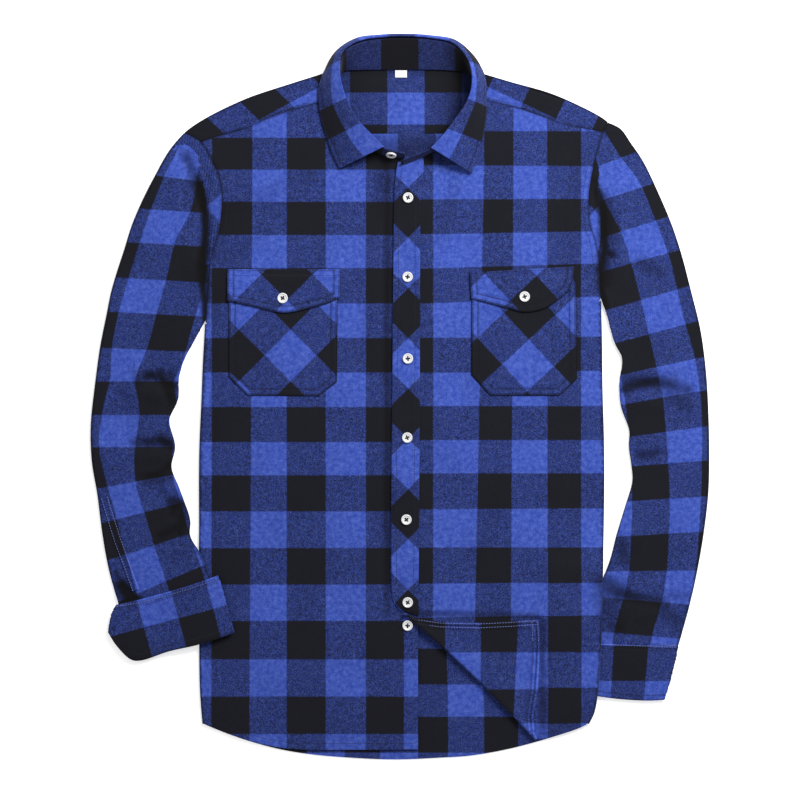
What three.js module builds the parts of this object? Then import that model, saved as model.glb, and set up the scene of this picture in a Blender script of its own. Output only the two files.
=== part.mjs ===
// A long-sleeved flannel shirt laid flat on its back: millimetres, x across, y up the shirt, z up from the table.
// The wearer's right is on the negative x side, because the front faces up.
// Tables give outlines on the table plane, as seen from straight above.

import * as THREE from 'three';

// Driving dimensions
const CLOTH = 1.2;              // brushed twill, one layer
const BAND = 1.8;               // collar stand and cuffs, two layers with interlining
const LEAF = 1.6;               // collar leaf, two layers
const LABEL = 0.6;              // woven neck label
const SEAM_GAP = 0.3;           // between pieces that lie on each other
const SEW_GAP = 0.36;           // between pieces that are sewn edge to edge
const EDGE_RADIUS = 1.8;        // roll of the cloth's middle at a folded side
const ROLL_STEPS = 4;
const HOLE_CELLS = 8;           // along an armhole, shared by every piece that meets there
const SHOULDER_CELLS = 9;
const SHOULDER_END_GAP = 0.95;
const HEM_DROP = 0.9;           // the right front's fall towards its hem
const OVERLAP_RISE = 1.5;       // the left front lies on the right one along the button line
const CUFF_BUMP = 5.6;          // the body's rise over the cuff that lies beneath it
const CUFF_BUMP_FOOT = { corner: 207, slope: 0.42, full: -335, none: -357 };
const CUFF_LIFT = 5.4;          // the other cuff's rise over the body that it lies on
const TURNED_CUFF_RISE = 2.1;   // the sleeve's end inside its turned cuff
const VIEW_DISTANCE = 2440;     // height from which the collar's outline was read
const FOLD_RADIUS = 2.0;        // roll along the left front's turned-up corner
const BUTTON_RADIUS = 5.8;
const BUTTON_HEIGHT = 2.3;
const PLACKET_LOWEST_BUTTON_Y = -225;

const FLOOR_LAYER = CLOTH / 2;
const TOP_LAYER = FLOOR_LAYER + 2 * EDGE_RADIUS;
const NEXT_LAYER = CLOTH + SEAM_GAP;

// Outline tables, in millimetres

const SHOULDER_RIGHT = [
  { x: -77, y: 356.8 }, { x: -121, y: 343 }, { x: -165, y: 328.4 },
  { x: -198, y: 313.5 }, { x: -220, y: 301.4 }, { x: -236.5, y: 290 },
];
const SHOULDER_LEFT = [
  { x: 92, y: 354 }, { x: 121, y: 345.4 }, { x: 165, y: 332.8 },
  { x: 198, y: 318.5 }, { x: 220, y: 306.9 }, { x: 228.3, y: 301 },
];
const YOKE_SEAM_RIGHT = [
  { x: -64.5, y: 329.5 }, { x: -88, y: 323.4 }, { x: -110, y: 318 }, { x: -132, y: 310.2 },
  { x: -154, y: 302 }, { x: -170.5, y: 295 }, { x: -192.5, y: 288.6 }, { x: -218.6, y: 279.4 },
];
const YOKE_SEAM_LEFT = [
  { x: 82.5, y: 329 }, { x: 110, y: 322.3 }, { x: 132, y: 316.3 },
  { x: 165, y: 304.7 }, { x: 187, y: 298 }, { x: 222.6, y: 290.6 },
];
const BACK_NECKLINE = [
  { x: -77, y: 356.8 }, { x: -60, y: 359.5 }, { x: 0, y: 361.5 }, { x: 60, y: 359.5 }, { x: 92, y: 354 },
];
const NECK_END_RIGHT = [{ x: -77, y: 356.8 }, { x: -69, y: 340 }, { x: -64.5, y: 329.5 }];
const NECK_END_LEFT = [{ x: 92, y: 354 }, { x: 87, y: 342 }, { x: 82.5, y: 329 }];
const ARMHOLE_RIGHT = [
  { x: -236.5, y: 290 }, { x: -218.6, y: 279.4 }, { x: -208, y: 262 }, { x: -198, y: 238.7 },
  { x: -195.3, y: 214.5 }, { x: -199, y: 181.5 }, { x: -206.8, y: 153 }, { x: -211, y: 118 }, { x: -213.4, y: 82.5 },
];
const ARMHOLE_LEFT = [
  { x: 228.3, y: 301 }, { x: 222.6, y: 290.6 }, { x: 216.7, y: 271.7 }, { x: 211, y: 247.5 },
  { x: 206.8, y: 216.7 }, { x: 209, y: 188 }, { x: 214.5, y: 169.4 }, { x: 218, y: 148.5 }, { x: 220, y: 107.8 },
];
const BACK_SEAM_LEVEL = { x: 80, y: 297 };  // the level part behind the neck
const BACK_SEAM_AT = 0.25;      // where the back's seam meets an armhole, as a share of the armhole

const SIDE_RIGHT = [
  { x: -213.4, y: 82.5 }, { x: -216.2, y: 18.7 }, { x: -219, y: -47 }, { x: -220, y: -135 },
  { x: -220, y: -273 }, { x: -219, y: -322 }, { x: -216.7, y: -358.6 },
];
const SIDE_LEFT = [
  { x: 220, y: 107.8 }, { x: 221.7, y: 18.7 }, { x: 223.9, y: -91 }, { x: 222.8, y: -157 },
  { x: 220.6, y: -245 }, { x: 217.3, y: -311 }, { x: 212.5, y: -346 }, { x: 206.8, y: -358.6 },
];
const BACK_HEM = [
  { x: -216.7, y: -358.6 }, { x: -192.5, y: -368.5 }, { x: -165, y: -378 }, { x: -132, y: -386.7 },
  { x: -99, y: -392.2 }, { x: -55, y: -396 }, { x: -5, y: -398 }, { x: 44, y: -396 }, { x: 77, y: -393.8 },
  { x: 121, y: -386 }, { x: 165, y: -374 }, { x: 195.8, y: -364 }, { x: 206.8, y: -358.6 },
];
const FRONT_RIGHT_HEM = [
  { x: -216.7, y: -358 }, { x: -192.5, y: -367.5 }, { x: -165, y: -377 }, { x: -132, y: -384.5 },
  { x: -99, y: -386.8 }, { x: -40, y: -387 }, { x: 19.8, y: -386.5 },
];
const FRONT_RIGHT_NECKLINE = [
  { x: -64.5, y: 329.5 }, { x: -59.5, y: 318.5 }, { x: -49.5, y: 298 }, { x: -36.5, y: 281.8 },
  { x: -19, y: 268.8 }, { x: -4, y: 265 }, { x: 19.8, y: 263 },
];
const FRONT_RIGHT_EDGE = [{ x: 19.8, y: 263 }, { x: 19.8, y: -386.5 }];
const FRONT_LEFT_NECKLINE = [
  { x: -3, y: 257.4 }, { x: 17.6, y: 259.5 }, { x: 34, y: 268.4 }, { x: 49, y: 286 },
  { x: 62, y: 301.4 }, { x: 73.5, y: 318 }, { x: 82.5, y: 329 },
];
const FRONT_LEFT_EDGE = [
  { x: -3, y: 257.4 }, { x: -5, y: 244 }, { x: -6.6, y: 216.7 }, { x: -7.7, y: 128.7 }, { x: -8.8, y: -3.3 },
  { x: -9.9, y: -135 }, { x: -9.4, y: -212 }, { x: -5.2, y: -227.4 }, { x: 3.3, y: -237.2 },
];
const CORNER_FOLD = [
  { x: 3.3, y: -237.2 }, { x: 35.2, y: -264 }, { x: 60.5, y: -287 }, { x: 99, y: -324 }, { x: 148.5, y: -376 },
];
const FRONT_LEFT_HEM = [{ x: 148.5, y: -376 }, { x: 165, y: -373 }, { x: 195, y: -363.5 }, { x: 206.8, y: -358 }];
const TURNED_CORNER = [
  { x: 6, y: -237.6 }, { x: 16.5, y: -242.4 }, { x: 44, y: -246.5 }, { x: 88, y: -247.5 }, { x: 121, y: -246 },
  { x: 152, y: -243.6 }, { x: 153.5, y: -267 }, { x: 152.9, y: -289 }, { x: 150.7, y: -322 },
  { x: 146, y: -350 }, { x: 148, y: -371 },
];
const TURNED_CORNER_TIP = 5;

const PLACKET_LEFT = [
  { x: -2.4, y: 257 }, { x: -4.6, y: 244 }, { x: -6.3, y: 216.7 }, { x: -7.4, y: 128.7 },
  { x: -8.5, y: -3.3 }, { x: -9.6, y: -135 }, { x: -9.2, y: -210 },
];
const PLACKET_RIGHT = [
  { x: 25.5, y: 262 }, { x: 26, y: 249.7 }, { x: 23.1, y: 216.7 }, { x: 22, y: 84.7 },
  { x: 21.5, y: -47.3 }, { x: 20.4, y: -223.3 }, { x: 20.4, y: -240 },
];
const PLACKET_FOOT = [{ x: -9.2, y: -210 }, { x: -5, y: -224 }, { x: 4, y: -233.5 }, { x: 20.4, y: -240 }];

const POCKETS = [
  {
    name: 'pocket_right',
    top: [{ x: -187.6, y: 129 }, { x: -68.3, y: 129 }],
    left: [{ x: -187.6, y: 129 }, { x: -187.6, y: 22 }],
    right: [{ x: -68.3, y: 129 }, { x: -69.3, y: 16.5 }],
    foot: [{ x: -187.6, y: 22 }, { x: -166.8, y: 1.7 }, { x: -89, y: 1.1 }, { x: -69.3, y: 16.5 }],
  },
  {
    name: 'pocket_left',
    top: [{ x: 78.4, y: 129 }, { x: 192.5, y: 129 }],
    left: [{ x: 78.4, y: 129 }, { x: 78.4, y: 24.2 }],
    right: [{ x: 192.5, y: 129 }, { x: 193.6, y: 20 }],
    foot: [{ x: 78.4, y: 24.2 }, { x: 99, y: 1.7 }, { x: 175, y: 1.7 }, { x: 193.6, y: 20 }],
  },
];
const FLAPS = [
  {
    name: 'flap_right',
    button: { x: -128.5, y: 108.2 },
    top: [{ x: -189.2, y: 140 }, { x: -65, y: 140 }],
    left: [{ x: -189.2, y: 140 }, { x: -189.2, y: 105 }],
    right: [{ x: -65, y: 140 }, { x: -65.5, y: 109 }],
    foot: [
      { x: -189.2, y: 105 }, { x: -154, y: 97.4 }, { x: -137.5, y: 93.5 }, { x: -126.5, y: 92.2 },
      { x: -115.5, y: 93.5 }, { x: -99, y: 97.4 }, { x: -80, y: 102.6 }, { x: -65.5, y: 109 },
    ],
  },
  {
    name: 'flap_left',
    button: { x: 136.4, y: 109.8 },
    top: [{ x: 76, y: 136.4 }, { x: 191, y: 143 }],
    left: [{ x: 76, y: 136.4 }, { x: 78, y: 107.6 }],
    right: [{ x: 191, y: 143 }, { x: 189, y: 127.6 }, { x: 184, y: 115.5 }],
    foot: [
      { x: 78, y: 107.6 }, { x: 99, y: 102.3 }, { x: 120.8, y: 96.8 }, { x: 136.2, y: 93 },
      { x: 158, y: 97 }, { x: 173, y: 106.4 }, { x: 184, y: 115.5 },
    ],
  },
];
const POCKET_MOUTH_Y = { under: 130.5, over: 136 };

const SLEEVE_RIGHT = {
  outer: [
    { x: -236.5, y: 290 }, { x: -252, y: 271.7 }, { x: -267.3, y: 244.2 }, { x: -281.6, y: 216.7 },
    { x: -293.7, y: 189.2 }, { x: -302.5, y: 161.7 }, { x: -315.7, y: 117.7 }, { x: -321.2, y: 90 },
    { x: -329, y: 51.7 }, { x: -335.5, y: 2.2 }, { x: -338.8, y: -36.3 }, { x: -337.7, y: -71.5 },
    { x: -332.2, y: -105.6 }, { x: -326.7, y: -146.3 }, { x: -319, y: -190.3 }, { x: -309, y: -227.7 },
    { x: -305, y: -247 },
  ],
  inner: [
    { x: -213.4, y: 82.5 }, { x: -225.5, y: 59.4 }, { x: -236.5, y: 38.5 }, { x: -242, y: 18.7 },
    { x: -242.5, y: -3.3 }, { x: -252, y: -26.4 }, { x: -245.5, y: -54 }, { x: -249.5, y: -76 },
    { x: -241, y: -100 }, { x: -230, y: -134 }, { x: -230, y: -151 }, { x: -220, y: -169.4 },
    { x: -208, y: -198 }, { x: -203, y: -221 },
  ],
};
const SLEEVE_LEFT = {
  outer: [
    { x: 228.3, y: 301 }, { x: 242, y: 293.7 }, { x: 253, y: 278.3 }, { x: 266.2, y: 258.5 },
    { x: 282.7, y: 224.4 }, { x: 298, y: 189.2 }, { x: 307, y: 161.7 }, { x: 318, y: 121 }, { x: 329, y: 76 },
    { x: 334.4, y: 35.2 }, { x: 338.3, y: -25.3 }, { x: 338.8, y: -69.3 }, { x: 337.7, y: -107.8 },
    { x: 333.3, y: -146.3 }, { x: 326.7, y: -184.8 }, { x: 318, y: -226.6 }, { x: 309, y: -259.6 },
    { x: 305, y: -272.8 },
  ],
  inner: [
    { x: 220, y: 107.8 }, { x: 227.7, y: 84.7 }, { x: 234.3, y: 59.4 }, { x: 243, y: 40.7 },
    { x: 239.8, y: 13.2 }, { x: 241, y: -8.8 }, { x: 250.3, y: -36.3 }, { x: 250, y: -53 },
    { x: 253, y: -75 }, { x: 254, y: -91 }, { x: 246.4, y: -118.8 }, { x: 237.6, y: -149.6 },
    { x: 230, y: -179.3 }, { x: 221, y: -201.3 }, { x: 208, y: -225 }, { x: 196, y: -248 }, { x: 188, y: -268.2 },
  ],
};
const CUFF_LEFT = {
  top: [{ x: 306.5, y: -273.9 }, { x: 187, y: -269.3 }],
  foot: [{ x: 291, y: -332 }, { x: 270, y: -332.8 }, { x: 235, y: -330.5 }, { x: 180, y: -322 }],
  outer: [{ x: 306.5, y: -273.9 }, { x: 300, y: -302 }, { x: 291, y: -332 }],
  inner: [{ x: 187, y: -269.3 }, { x: 180, y: -322 }],
};
const CUFF_RIGHT = {
  top: [{ x: -313, y: -228.5 }, { x: -286, y: -222.2 }, { x: -236, y: -208 }, { x: -198, y: -195 }],
  foot: [
    { x: -321, y: -256 }, { x: -310, y: -273 }, { x: -294, y: -288 }, { x: -283, y: -288.5 },
    { x: -253, y: -278.5 }, { x: -220, y: -270.6 }, { x: -179.5, y: -257.5 },
  ],
  outer: [{ x: -313, y: -228.5 }, { x: -317.5, y: -238 }, { x: -321, y: -256 }],
  inner: [{ x: -198, y: -195 }, { x: -188, y: -228 }, { x: -179.5, y: -257.5 }],
};
const TURNED_CUFF_EDGE = { x: -313, y: -228.5, slope: 0.29 };
const SLEEVE_SLIT = [
  { x: -324, y: -110 }, { x: -317, y: -133 }, { x: -309, y: -158 }, { x: -301, y: -180 },
  { x: -292.6, y: -203 }, { x: -289.5, y: -212 },
];
const SLEEVE_SLIT_WIDTH = 7;

// Soft folds of the upper layer: a ridge or a trough along a line, with its height and half width
const FOLDS = [
  { x1: -235, y1: 262, x2: -217, y2: 212, height: -2.0, width: 6 },
  { x1: -216, y1: 205, x2: -214, y2: 112, height: -2.0, width: 5 },
  { x1: -206, y1: 232, x2: -205, y2: 165, height: 1.2, width: 5 },
  { x1: -247, y1: 245, x2: -228, y2: 140, height: 1.3, width: 12 },
  { x1: -292, y1: 25, x2: -250, y2: 14, height: -1.7, width: 5 },
  { x1: -288, y1: 6, x2: -252, y2: 2, height: 1.3, width: 8 },
  { x1: -290, y1: -50, x2: -254, y2: -52, height: -1.7, width: 5 },
  { x1: -286, y1: -66, x2: -254, y2: -66, height: 1.3, width: 7 },
  { x1: -258, y1: -110, x2: -236, y2: -116, height: -1.6, width: 5 },
  { x1: 223, y1: 222, x2: 227, y2: 122, height: -2.0, width: 5 },
  { x1: 240, y1: 230, x2: 244, y2: 130, height: 1.3, width: 10 },
  { x1: 248, y1: 18, x2: 316, y2: 8, height: -1.6, width: 7 },
  { x1: 252, y1: -8, x2: 320, y2: -12, height: 1.2, width: 9 },
  { x1: 258, y1: -64, x2: 290, y2: -62, height: -1.6, width: 5 },
  { x1: 240, y1: -222, x2: 310, y2: -220, height: -1.3, width: 6 },
  { x1: -176, y1: 250, x2: -182, y2: -300, height: 0.6, width: 14 },
  { x1: 150, y1: 260, x2: 158, y2: -260, height: 0.5, width: 16 },
  { x1: -60, y1: 230, x2: -52, y2: -330, height: 0.5, width: 14 },
];

// Collar stand: where it is sewn on (n) and its top edge (t), from the right front round the neck to the left front
const STAND = [
  { nx: 5.5, ny: 262.9, nz: 6.8, tx: 5.5, ty: 269, tz: 19 },
  { nx: -4.4, ny: 263.5, nz: 6.4, tx: -3.3, ty: 271.2, tz: 22 },
  { nx: -19.8, ny: 267.3, nz: 6.1, tx: -17.6, ty: 275, tz: 25 },
  { nx: -37.4, ny: 280.5, nz: 5.8, tx: -33, ty: 290.4, tz: 28 },
  { nx: -50.6, ny: 297, nz: 5.5, tx: -46.2, ty: 304.7, tz: 29 },
  { nx: -60.5, ny: 317.9, nz: 5.4, tx: -56.1, ty: 321.2, tz: 30 },
  { nx: -65.5, ny: 337.7, nz: 5.3, tx: -62.7, ty: 339, tz: 30 },
  { nx: -68, ny: 351, nz: 4.4, tx: -66, ty: 358, tz: 28 },
  { nx: -62, ny: 357.8, nz: 3.0, tx: -62.7, ty: 379.5, tz: 24 },
  { nx: -46.2, ny: 359.2, nz: 2.6, tx: -44, ty: 391.6, tz: 18 },
  { nx: -22, ny: 359.7, nz: 2.6, tx: -22, ty: 395.5, tz: 16 },
  { nx: 5.5, ny: 359.7, nz: 2.6, tx: 5.5, ty: 396.6, tz: 15.5 },
  { nx: 33, ny: 359.7, nz: 2.6, tx: 33, ty: 394.9, tz: 16 },
  { nx: 57.2, ny: 358.7, nz: 2.6, tx: 57.2, ty: 389.4, tz: 18 },
  { nx: 75, ny: 356, nz: 3.2, tx: 72.6, ty: 374, tz: 24 },
  { nx: 82.5, ny: 348, nz: 4.6, tx: 78.7, ty: 357.5, tz: 28 },
  { nx: 82, ny: 334.4, nz: 5.3, tx: 78, ty: 337.7, tz: 30 },
  { nx: 74.8, ny: 317.9, nz: 5.4, tx: 71.5, ty: 321.2, tz: 30 },
  { nx: 63.8, ny: 301.4, nz: 5.6, tx: 61.6, ty: 306.9, tz: 29 },
  { nx: 50.6, ny: 286, nz: 6.2, tx: 48.4, ty: 289.3, tz: 28 },
  { nx: 36.3, ny: 270.6, nz: 7.4, tx: 34.1, ty: 273.9, tz: 25 },
  { nx: 17.6, ny: 261.3, nz: 9.2, tx: 16.5, ty: 267.3, tz: 20 },
  { nx: 1.1, ny: 255.2, nz: 9.4, tx: 1.1, ty: 261.3, tz: 17 },
];
const LEAF_FIRST_ROW = 2;
const LEAF_LAST_ROW = 20;
const LEAF_CREST_GAP = 2.7;     // from the leaf's crest down to the stand's top edge

// Collar leaf: its free edge (e), and where given the point that its bend is drawn towards (b)
const COLLAR_LEAF = [
  { ex: -66, ey: 250.8, ez: 7.6 },
  { ex: -73.7, ey: 266, ez: 7.2 },
  { ex: -80.9, ey: 287.1, ez: 7.2 },
  { ex: -86.4, ey: 306.9, ez: 7.2 },
  { ex: -89.1, ey: 325.6, ez: 7.6 },
  { ex: -88.6, ey: 342.1, ez: 7.8 },
  { ex: -79.2, ey: 360.8, ez: 6.5, bx: -76, by: 381, bz: 14 },
  { ex: -52.8, ey: 367.4, ez: 1.3, bx: -52, by: 402, bz: 3 },
  { ex: -24, ey: 367.4, ez: 1.3, bx: -24, by: 405, bz: 2 },
  { ex: 5.5, ey: 367.4, ez: 1.3, bx: 5.5, by: 406, bz: 2 },
  { ex: 33, ey: 367.4, ez: 1.3, bx: 35, by: 404.2, bz: 2 },
  { ex: 60.5, ey: 367.4, ez: 1.3, bx: 65, by: 399.5, bz: 3 },
  { ex: 88, ey: 360.8, ez: 6.5, bx: 85, by: 376, bz: 14 },
  { ex: 94, ey: 346.5, ez: 7.8 },
  { ex: 94.6, ey: 328.9, ez: 7.6 },
  { ex: 94.6, ey: 312.4, ez: 7.2 },
  { ex: 92.4, ey: 294.8, ez: 7.2 },
  { ex: 88, ey: 273, ez: 7.4 },
  { ex: 78.7, ey: 245.3, ez: 7.6 },
];
const LEAF_CROWN = 5;           // the leaf's rise over the straight line from its crest to its free edge
const LABEL_PLACE = { x: 1.1, y: 354.6, width: 13, depth: 8 };

const PLACKET_BUTTONS = [
  { x: 8.8, y: 218.2 }, { x: 8.3, y: 131.5 }, { x: 8.6, y: 42 },
  { x: 7.9, y: -44.5 }, { x: 7, y: -134.3 }, { x: 8.4, y: PLACKET_LOWEST_BUTTON_Y },
];
const LOWER_BUTTON = { x: 8.3, y: -250.6 };
const STAND_BUTTON_AT = 0.062;  // along the stand, from the right front
const STAND_BUTTON_UP = 0.52;   // up the stand

const COLOURS = {
  check: { color: 0x35479a, roughness: 0.95, metalness: 0 },
  button: { color: 0xf2f1ec, roughness: 0.35, metalness: 0 },
  label: { color: 0xf4f4f0, roughness: 0.8, metalness: 0 },
};

// Curves and grids

function curve(rows) {
  const points = rows.map(({ x, y }) => new THREE.Vector3(x, y, 0));
  return new THREE.CatmullRomCurve3(points, false, 'centripetal');
}

function polyline(rows) {
  const path = new THREE.CurvePath();
  for (let k = 1; k < rows.length; k += 1) {
    const from = new THREE.Vector3(rows[k - 1].x, rows[k - 1].y, 0);
    const to = new THREE.Vector3(rows[k].x, rows[k].y, 0);
    path.add(new THREE.LineCurve3(from, to));
  }
  return path;
}

// The part of a curve between two of its arc-length fractions
function portion(whole, from, to) {
  return {
    getLength: () => whole.getLength() * Math.abs(to - from),
    getPointAt: (t) => whole.getPointAt(from + (to - from) * t),
  };
}

// The arc-length fraction at which a falling curve passes a height
function fractionAtY(whole, y) {
  let [above, below] = [0, 1];
  for (let k = 0; k < 24; k += 1) {
    const middle = (above + below) / 2;
    if (whole.getPointAt(middle).y > y) above = middle;
    else below = middle;
  }
  return below;
}

function even(cells) {
  return Array.from({ length: cells + 1 }, (_, k) => k / cells);
}

// Points along joined curves, with a set number of cells on each, so that corners are kept
function chain(parts) {
  const points = [];
  parts.forEach(({ along, cells }, index) => {
    even(cells).slice(index === 0 ? 0 : 1).forEach((t) => points.push(along.getPointAt(t)));
  });
  return points;
}

function lengths(points) {
  const sums = [0];
  for (let k = 1; k < points.length; k += 1) sums.push(sums[k - 1] + points[k].distanceTo(points[k - 1]));
  return sums.map((value) => value / sums[sums.length - 1]);
}

// A line of points moved sideways in the table plane, to its left as it runs for a positive distance
function inset(points, distance) {
  return points.map((p, k) => {
    const before = points[Math.max(k - 1, 0)];
    const after = points[Math.min(k + 1, points.length - 1)];
    const along = new THREE.Vector3().subVectors(after, before).setZ(0).normalize();
    return new THREE.Vector3(p.x - along.y * distance, p.y + along.x * distance, p.z);
  });
}

// A grid inside four edges: top and bottom run left to right, left and right run down
function span(top, bottom, left, right, height) {
  const us = lengths(top);
  const vs = lengths(left);
  const [c00, c10] = [top[0], top[top.length - 1]];
  const [c01, c11] = [bottom[0], bottom[bottom.length - 1]];
  return left.map((leftPoint, j) => top.map((topPoint, i) => {
    const u = us[i];
    const v = vs[j];
    const p = new THREE.Vector3();
    p.addScaledVector(topPoint, 1 - v).addScaledVector(bottom[i], v);
    p.addScaledVector(leftPoint, 1 - u).addScaledVector(right[j], u);
    p.addScaledVector(c00, -(1 - u) * (1 - v)).addScaledVector(c10, -u * (1 - v));
    p.addScaledVector(c01, -(1 - u) * v).addScaledVector(c11, -u * v);
    p.z = height(p.x, p.y);
    return p;
  }));
}

// A half-round turn of the cloth from a line of top points down to the height of the layer below
function edgeRoll(points, outward, floorHeight) {
  const rows = [];
  for (let k = 0; k <= ROLL_STEPS; k += 1) {
    const angle = (Math.PI * k) / ROLL_STEPS;
    rows.push(points.map((p, i) => {
      const low = floorHeight(p.x, p.y);
      const radius = (p.z - low) / 2;
      const side = outward[i];
      const reach = k === ROLL_STEPS ? 0 : radius * Math.sin(angle);
      return new THREE.Vector3(p.x + side.x * reach, p.y + side.y * reach, low + radius * (1 + Math.cos(angle)));
    }));
  }
  return rows;
}

// The sideways direction at each point of a line, to its left as it runs for a positive sign
function sideways(points, sign) {
  return points.map((p, k) => {
    const before = points[Math.max(k - 1, 0)];
    const after = points[Math.min(k + 1, points.length - 1)];
    const along = new THREE.Vector3().subVectors(after, before).setZ(0).normalize();
    return new THREE.Vector3(-along.y * sign, along.x * sign, 0);
  });
}

// Cloth walls

// A piece of cloth as a middle surface of four-sided cells, given its thickness at the end
class Cloth {
  constructor() {
    this.points = [];
    this.cells = [];
    this.places = new Map();
  }

  place(p) {
    const key = [p.x, p.y, p.z].map((value) => Math.round(value * 1000)).join(',');
    if (!this.places.has(key)) {
      this.places.set(key, this.points.length);
      this.points.push(p.clone());
    }
    return this.places.get(key);
  }

  add(grid) {
    for (let j = 1; j < grid.length; j += 1) {
      for (let i = 1; i < grid[j].length; i += 1) {
        const corners = [grid[j - 1][i - 1], grid[j - 1][i], grid[j][i], grid[j][i - 1]];
        const cell = corners.map((corner) => this.place(corner)).filter((id, k, all) => id !== all[(k + 3) % 4]);
        if (cell.length > 2) this.cells.push(cell);
      }
    }
    return this;
  }

  // Each edge of the cells, with the cells that run along it and in which direction
  edges() {
    const found = new Map();
    this.cells.forEach((cell, index) => cell.forEach((a, k) => {
      const b = cell[(k + 1) % cell.length];
      const key = a < b ? `${a},${b}` : `${b},${a}`;
      if (!found.has(key)) found.set(key, []);
      found.get(key).push({ index, a, b });
    }));
    return found;
  }

  // Turns cells over until neighbours agree about which side is out
  orient() {
    const found = this.edges();
    const around = this.cells.map(() => []);
    for (const users of found.values()) {
      if (users.length > 2) throw new Error('three cells share an edge');
      if (users.length === 2) {
        const same = users[0].a === users[1].a;
        around[users[0].index].push({ next: users[1].index, same });
        around[users[1].index].push({ next: users[0].index, same });
      }
    }
    const flip = this.cells.map(() => null);
    const queue = [0];
    flip[0] = false;
    while (queue.length > 0) {
      const index = queue.pop();
      for (const { next, same } of around[index]) {
        if (flip[next] === null) {
          flip[next] = same ? !flip[index] : flip[index];
          queue.push(next);
        }
      }
    }
    this.cells = this.cells.map((cell, index) => (flip[index] ? [...cell].reverse() : cell));
  }

  normals() {
    const sums = this.points.map(() => new THREE.Vector3());
    const first = new THREE.Vector3();
    const second = new THREE.Vector3();
    for (const cell of this.cells) {
      const corners = cell.map((id) => this.points[id]);
      first.subVectors(corners[2], corners[0]);
      second.subVectors(corners[corners.length - 1], corners[1]);
      const normal = new THREE.Vector3().crossVectors(first, second);
      cell.forEach((id) => sums[id].add(normal));
    }
    return sums.map((normal) => normal.normalize());
  }

  wall(thickness) {
    this.orient();
    const normals = this.normals();
    const count = this.points.length;
    const positions = [];
    for (const sign of [1, -1]) {
      this.points.forEach((p, id) => {
        const moved = p.clone().addScaledVector(normals[id], (sign * thickness) / 2);
        positions.push(moved.x, moved.y, moved.z);
      });
    }
    const faces = [];
    const quad = (a, b, c, d) => faces.push(a, b, c, a, c, d);
    for (const [a, b, c, d] of this.cells) {
      faces.push(a, b, c);
      faces.push(a + count, c + count, b + count);
      if (d !== undefined) {
        faces.push(a, c, d);
        faces.push(a + count, d + count, c + count);
      }
    }
    for (const users of this.edges().values()) {
      if (users.length === 1) {
        const { a, b } = users[0];
        quad(b, a, a + count, b + count);
      }
    }
    return facingOut(positions, faces);
  }
}

function facingOut(positions, faces) {
  const corner = (id) => new THREE.Vector3().fromArray(positions, id * 3);
  let volume = 0;
  for (let k = 0; k < faces.length; k += 3) {
    const [a, b, c] = [corner(faces[k]), corner(faces[k + 1]), corner(faces[k + 2])];
    volume += a.dot(b.cross(c));
  }
  const index = volume < 0 ? faces.map((_, k) => faces[k - (k % 3) + (2 - (k % 3))]) : faces;
  const geometry = new THREE.BufferGeometry();
  geometry.setAttribute('position', new THREE.Float32BufferAttribute(positions, 3));
  geometry.setIndex(index);
  geometry.computeVertexNormals();
  return geometry;
}

// Heights of the layers

function ramp(from, to, value) {
  const t = THREE.MathUtils.clamp((value - from) / (to - from), 0, 1);
  return t * t * (3 - 2 * t);
}

// The body's rise over the left cuff and sleeve end, which lie beneath its edge
function cuffBump(x, y) {
  const { corner, slope, full, none } = CUFF_BUMP_FOOT;
  const level = y + slope * Math.max(0, corner - x);
  return CUFF_BUMP * ramp(140, 172, x) * ramp(-160, -190, y) * ramp(none, full, level);
}

// The right sleeve end's rise over the body's edge
function cuffLift(x, y) {
  return CUFF_LIFT * ramp(-274, -222, x) * ramp(-95, -160, y);
}

function folds(x, y) {
  let sum = 0;
  for (const { x1, y1, x2, y2, height, width } of FOLDS) {
    const [dx, dy] = [x2 - x1, y2 - y1];
    const t = ((x - x1) * dx + (y - y1) * dy) / (dx * dx + dy * dy);
    const near = THREE.MathUtils.clamp(t, 0, 1);
    const distance = Math.hypot(x - x1 - dx * near, y - y1 - dy * near);
    sum += height * Math.exp(-((distance / width) ** 2));
  }
  return THREE.MathUtils.clamp(sum, -2.0, 1.5);
}

function backHeight(x, y) {
  return FLOOR_LAYER + cuffBump(x, y);
}

function hemDrop(y, hemY) {
  return HEM_DROP * ramp(hemY + 40, hemY, y);
}

function frontRightHeight(x, y) {
  return TOP_LAYER + folds(x, y) - hemDrop(y, -380);
}

function frontLeftHeight(x, y) {
  const overlap = OVERLAP_RISE * ramp(48, 24, x);
  return TOP_LAYER + cuffBump(x, y) + folds(x, y) + overlap;
}

// How far a point lies inside the turned cuff's upper edge
function insideTurnedCuff(x, y) {
  return TURNED_CUFF_EDGE.y + (x - TURNED_CUFF_EDGE.x) * TURNED_CUFF_EDGE.slope - y;
}

// Body

// Points along an armhole between two of its fractions, at the places that every piece along it shares
function holeLine(hole, from, to, distance) {
  const shared = even(HOLE_CELLS).filter((t) => t > from + 0.02 && t < to - 0.02);
  return inset([from, ...shared, to].map((t) => hole.getPointAt(t)), distance);
}

// A side edge, with a row of points where the body comes down from the cuff beneath it
function sideLine(rows, distance) {
  const side = curve(rows);
  const foot = fractionAtY(side, CUFF_BUMP_FOOT.full);
  return inset(chain([
    { along: portion(side, 0, foot), cells: 9 },
    { along: portion(side, foot, 1), cells: 1 },
  ]), distance);
}

function rolledSide(grid, column, firstRow, sign) {
  const line = grid.slice(firstRow).map((row) => row[column]);
  return edgeRoll(line, sideways(line, sign), backHeight);
}

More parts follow.
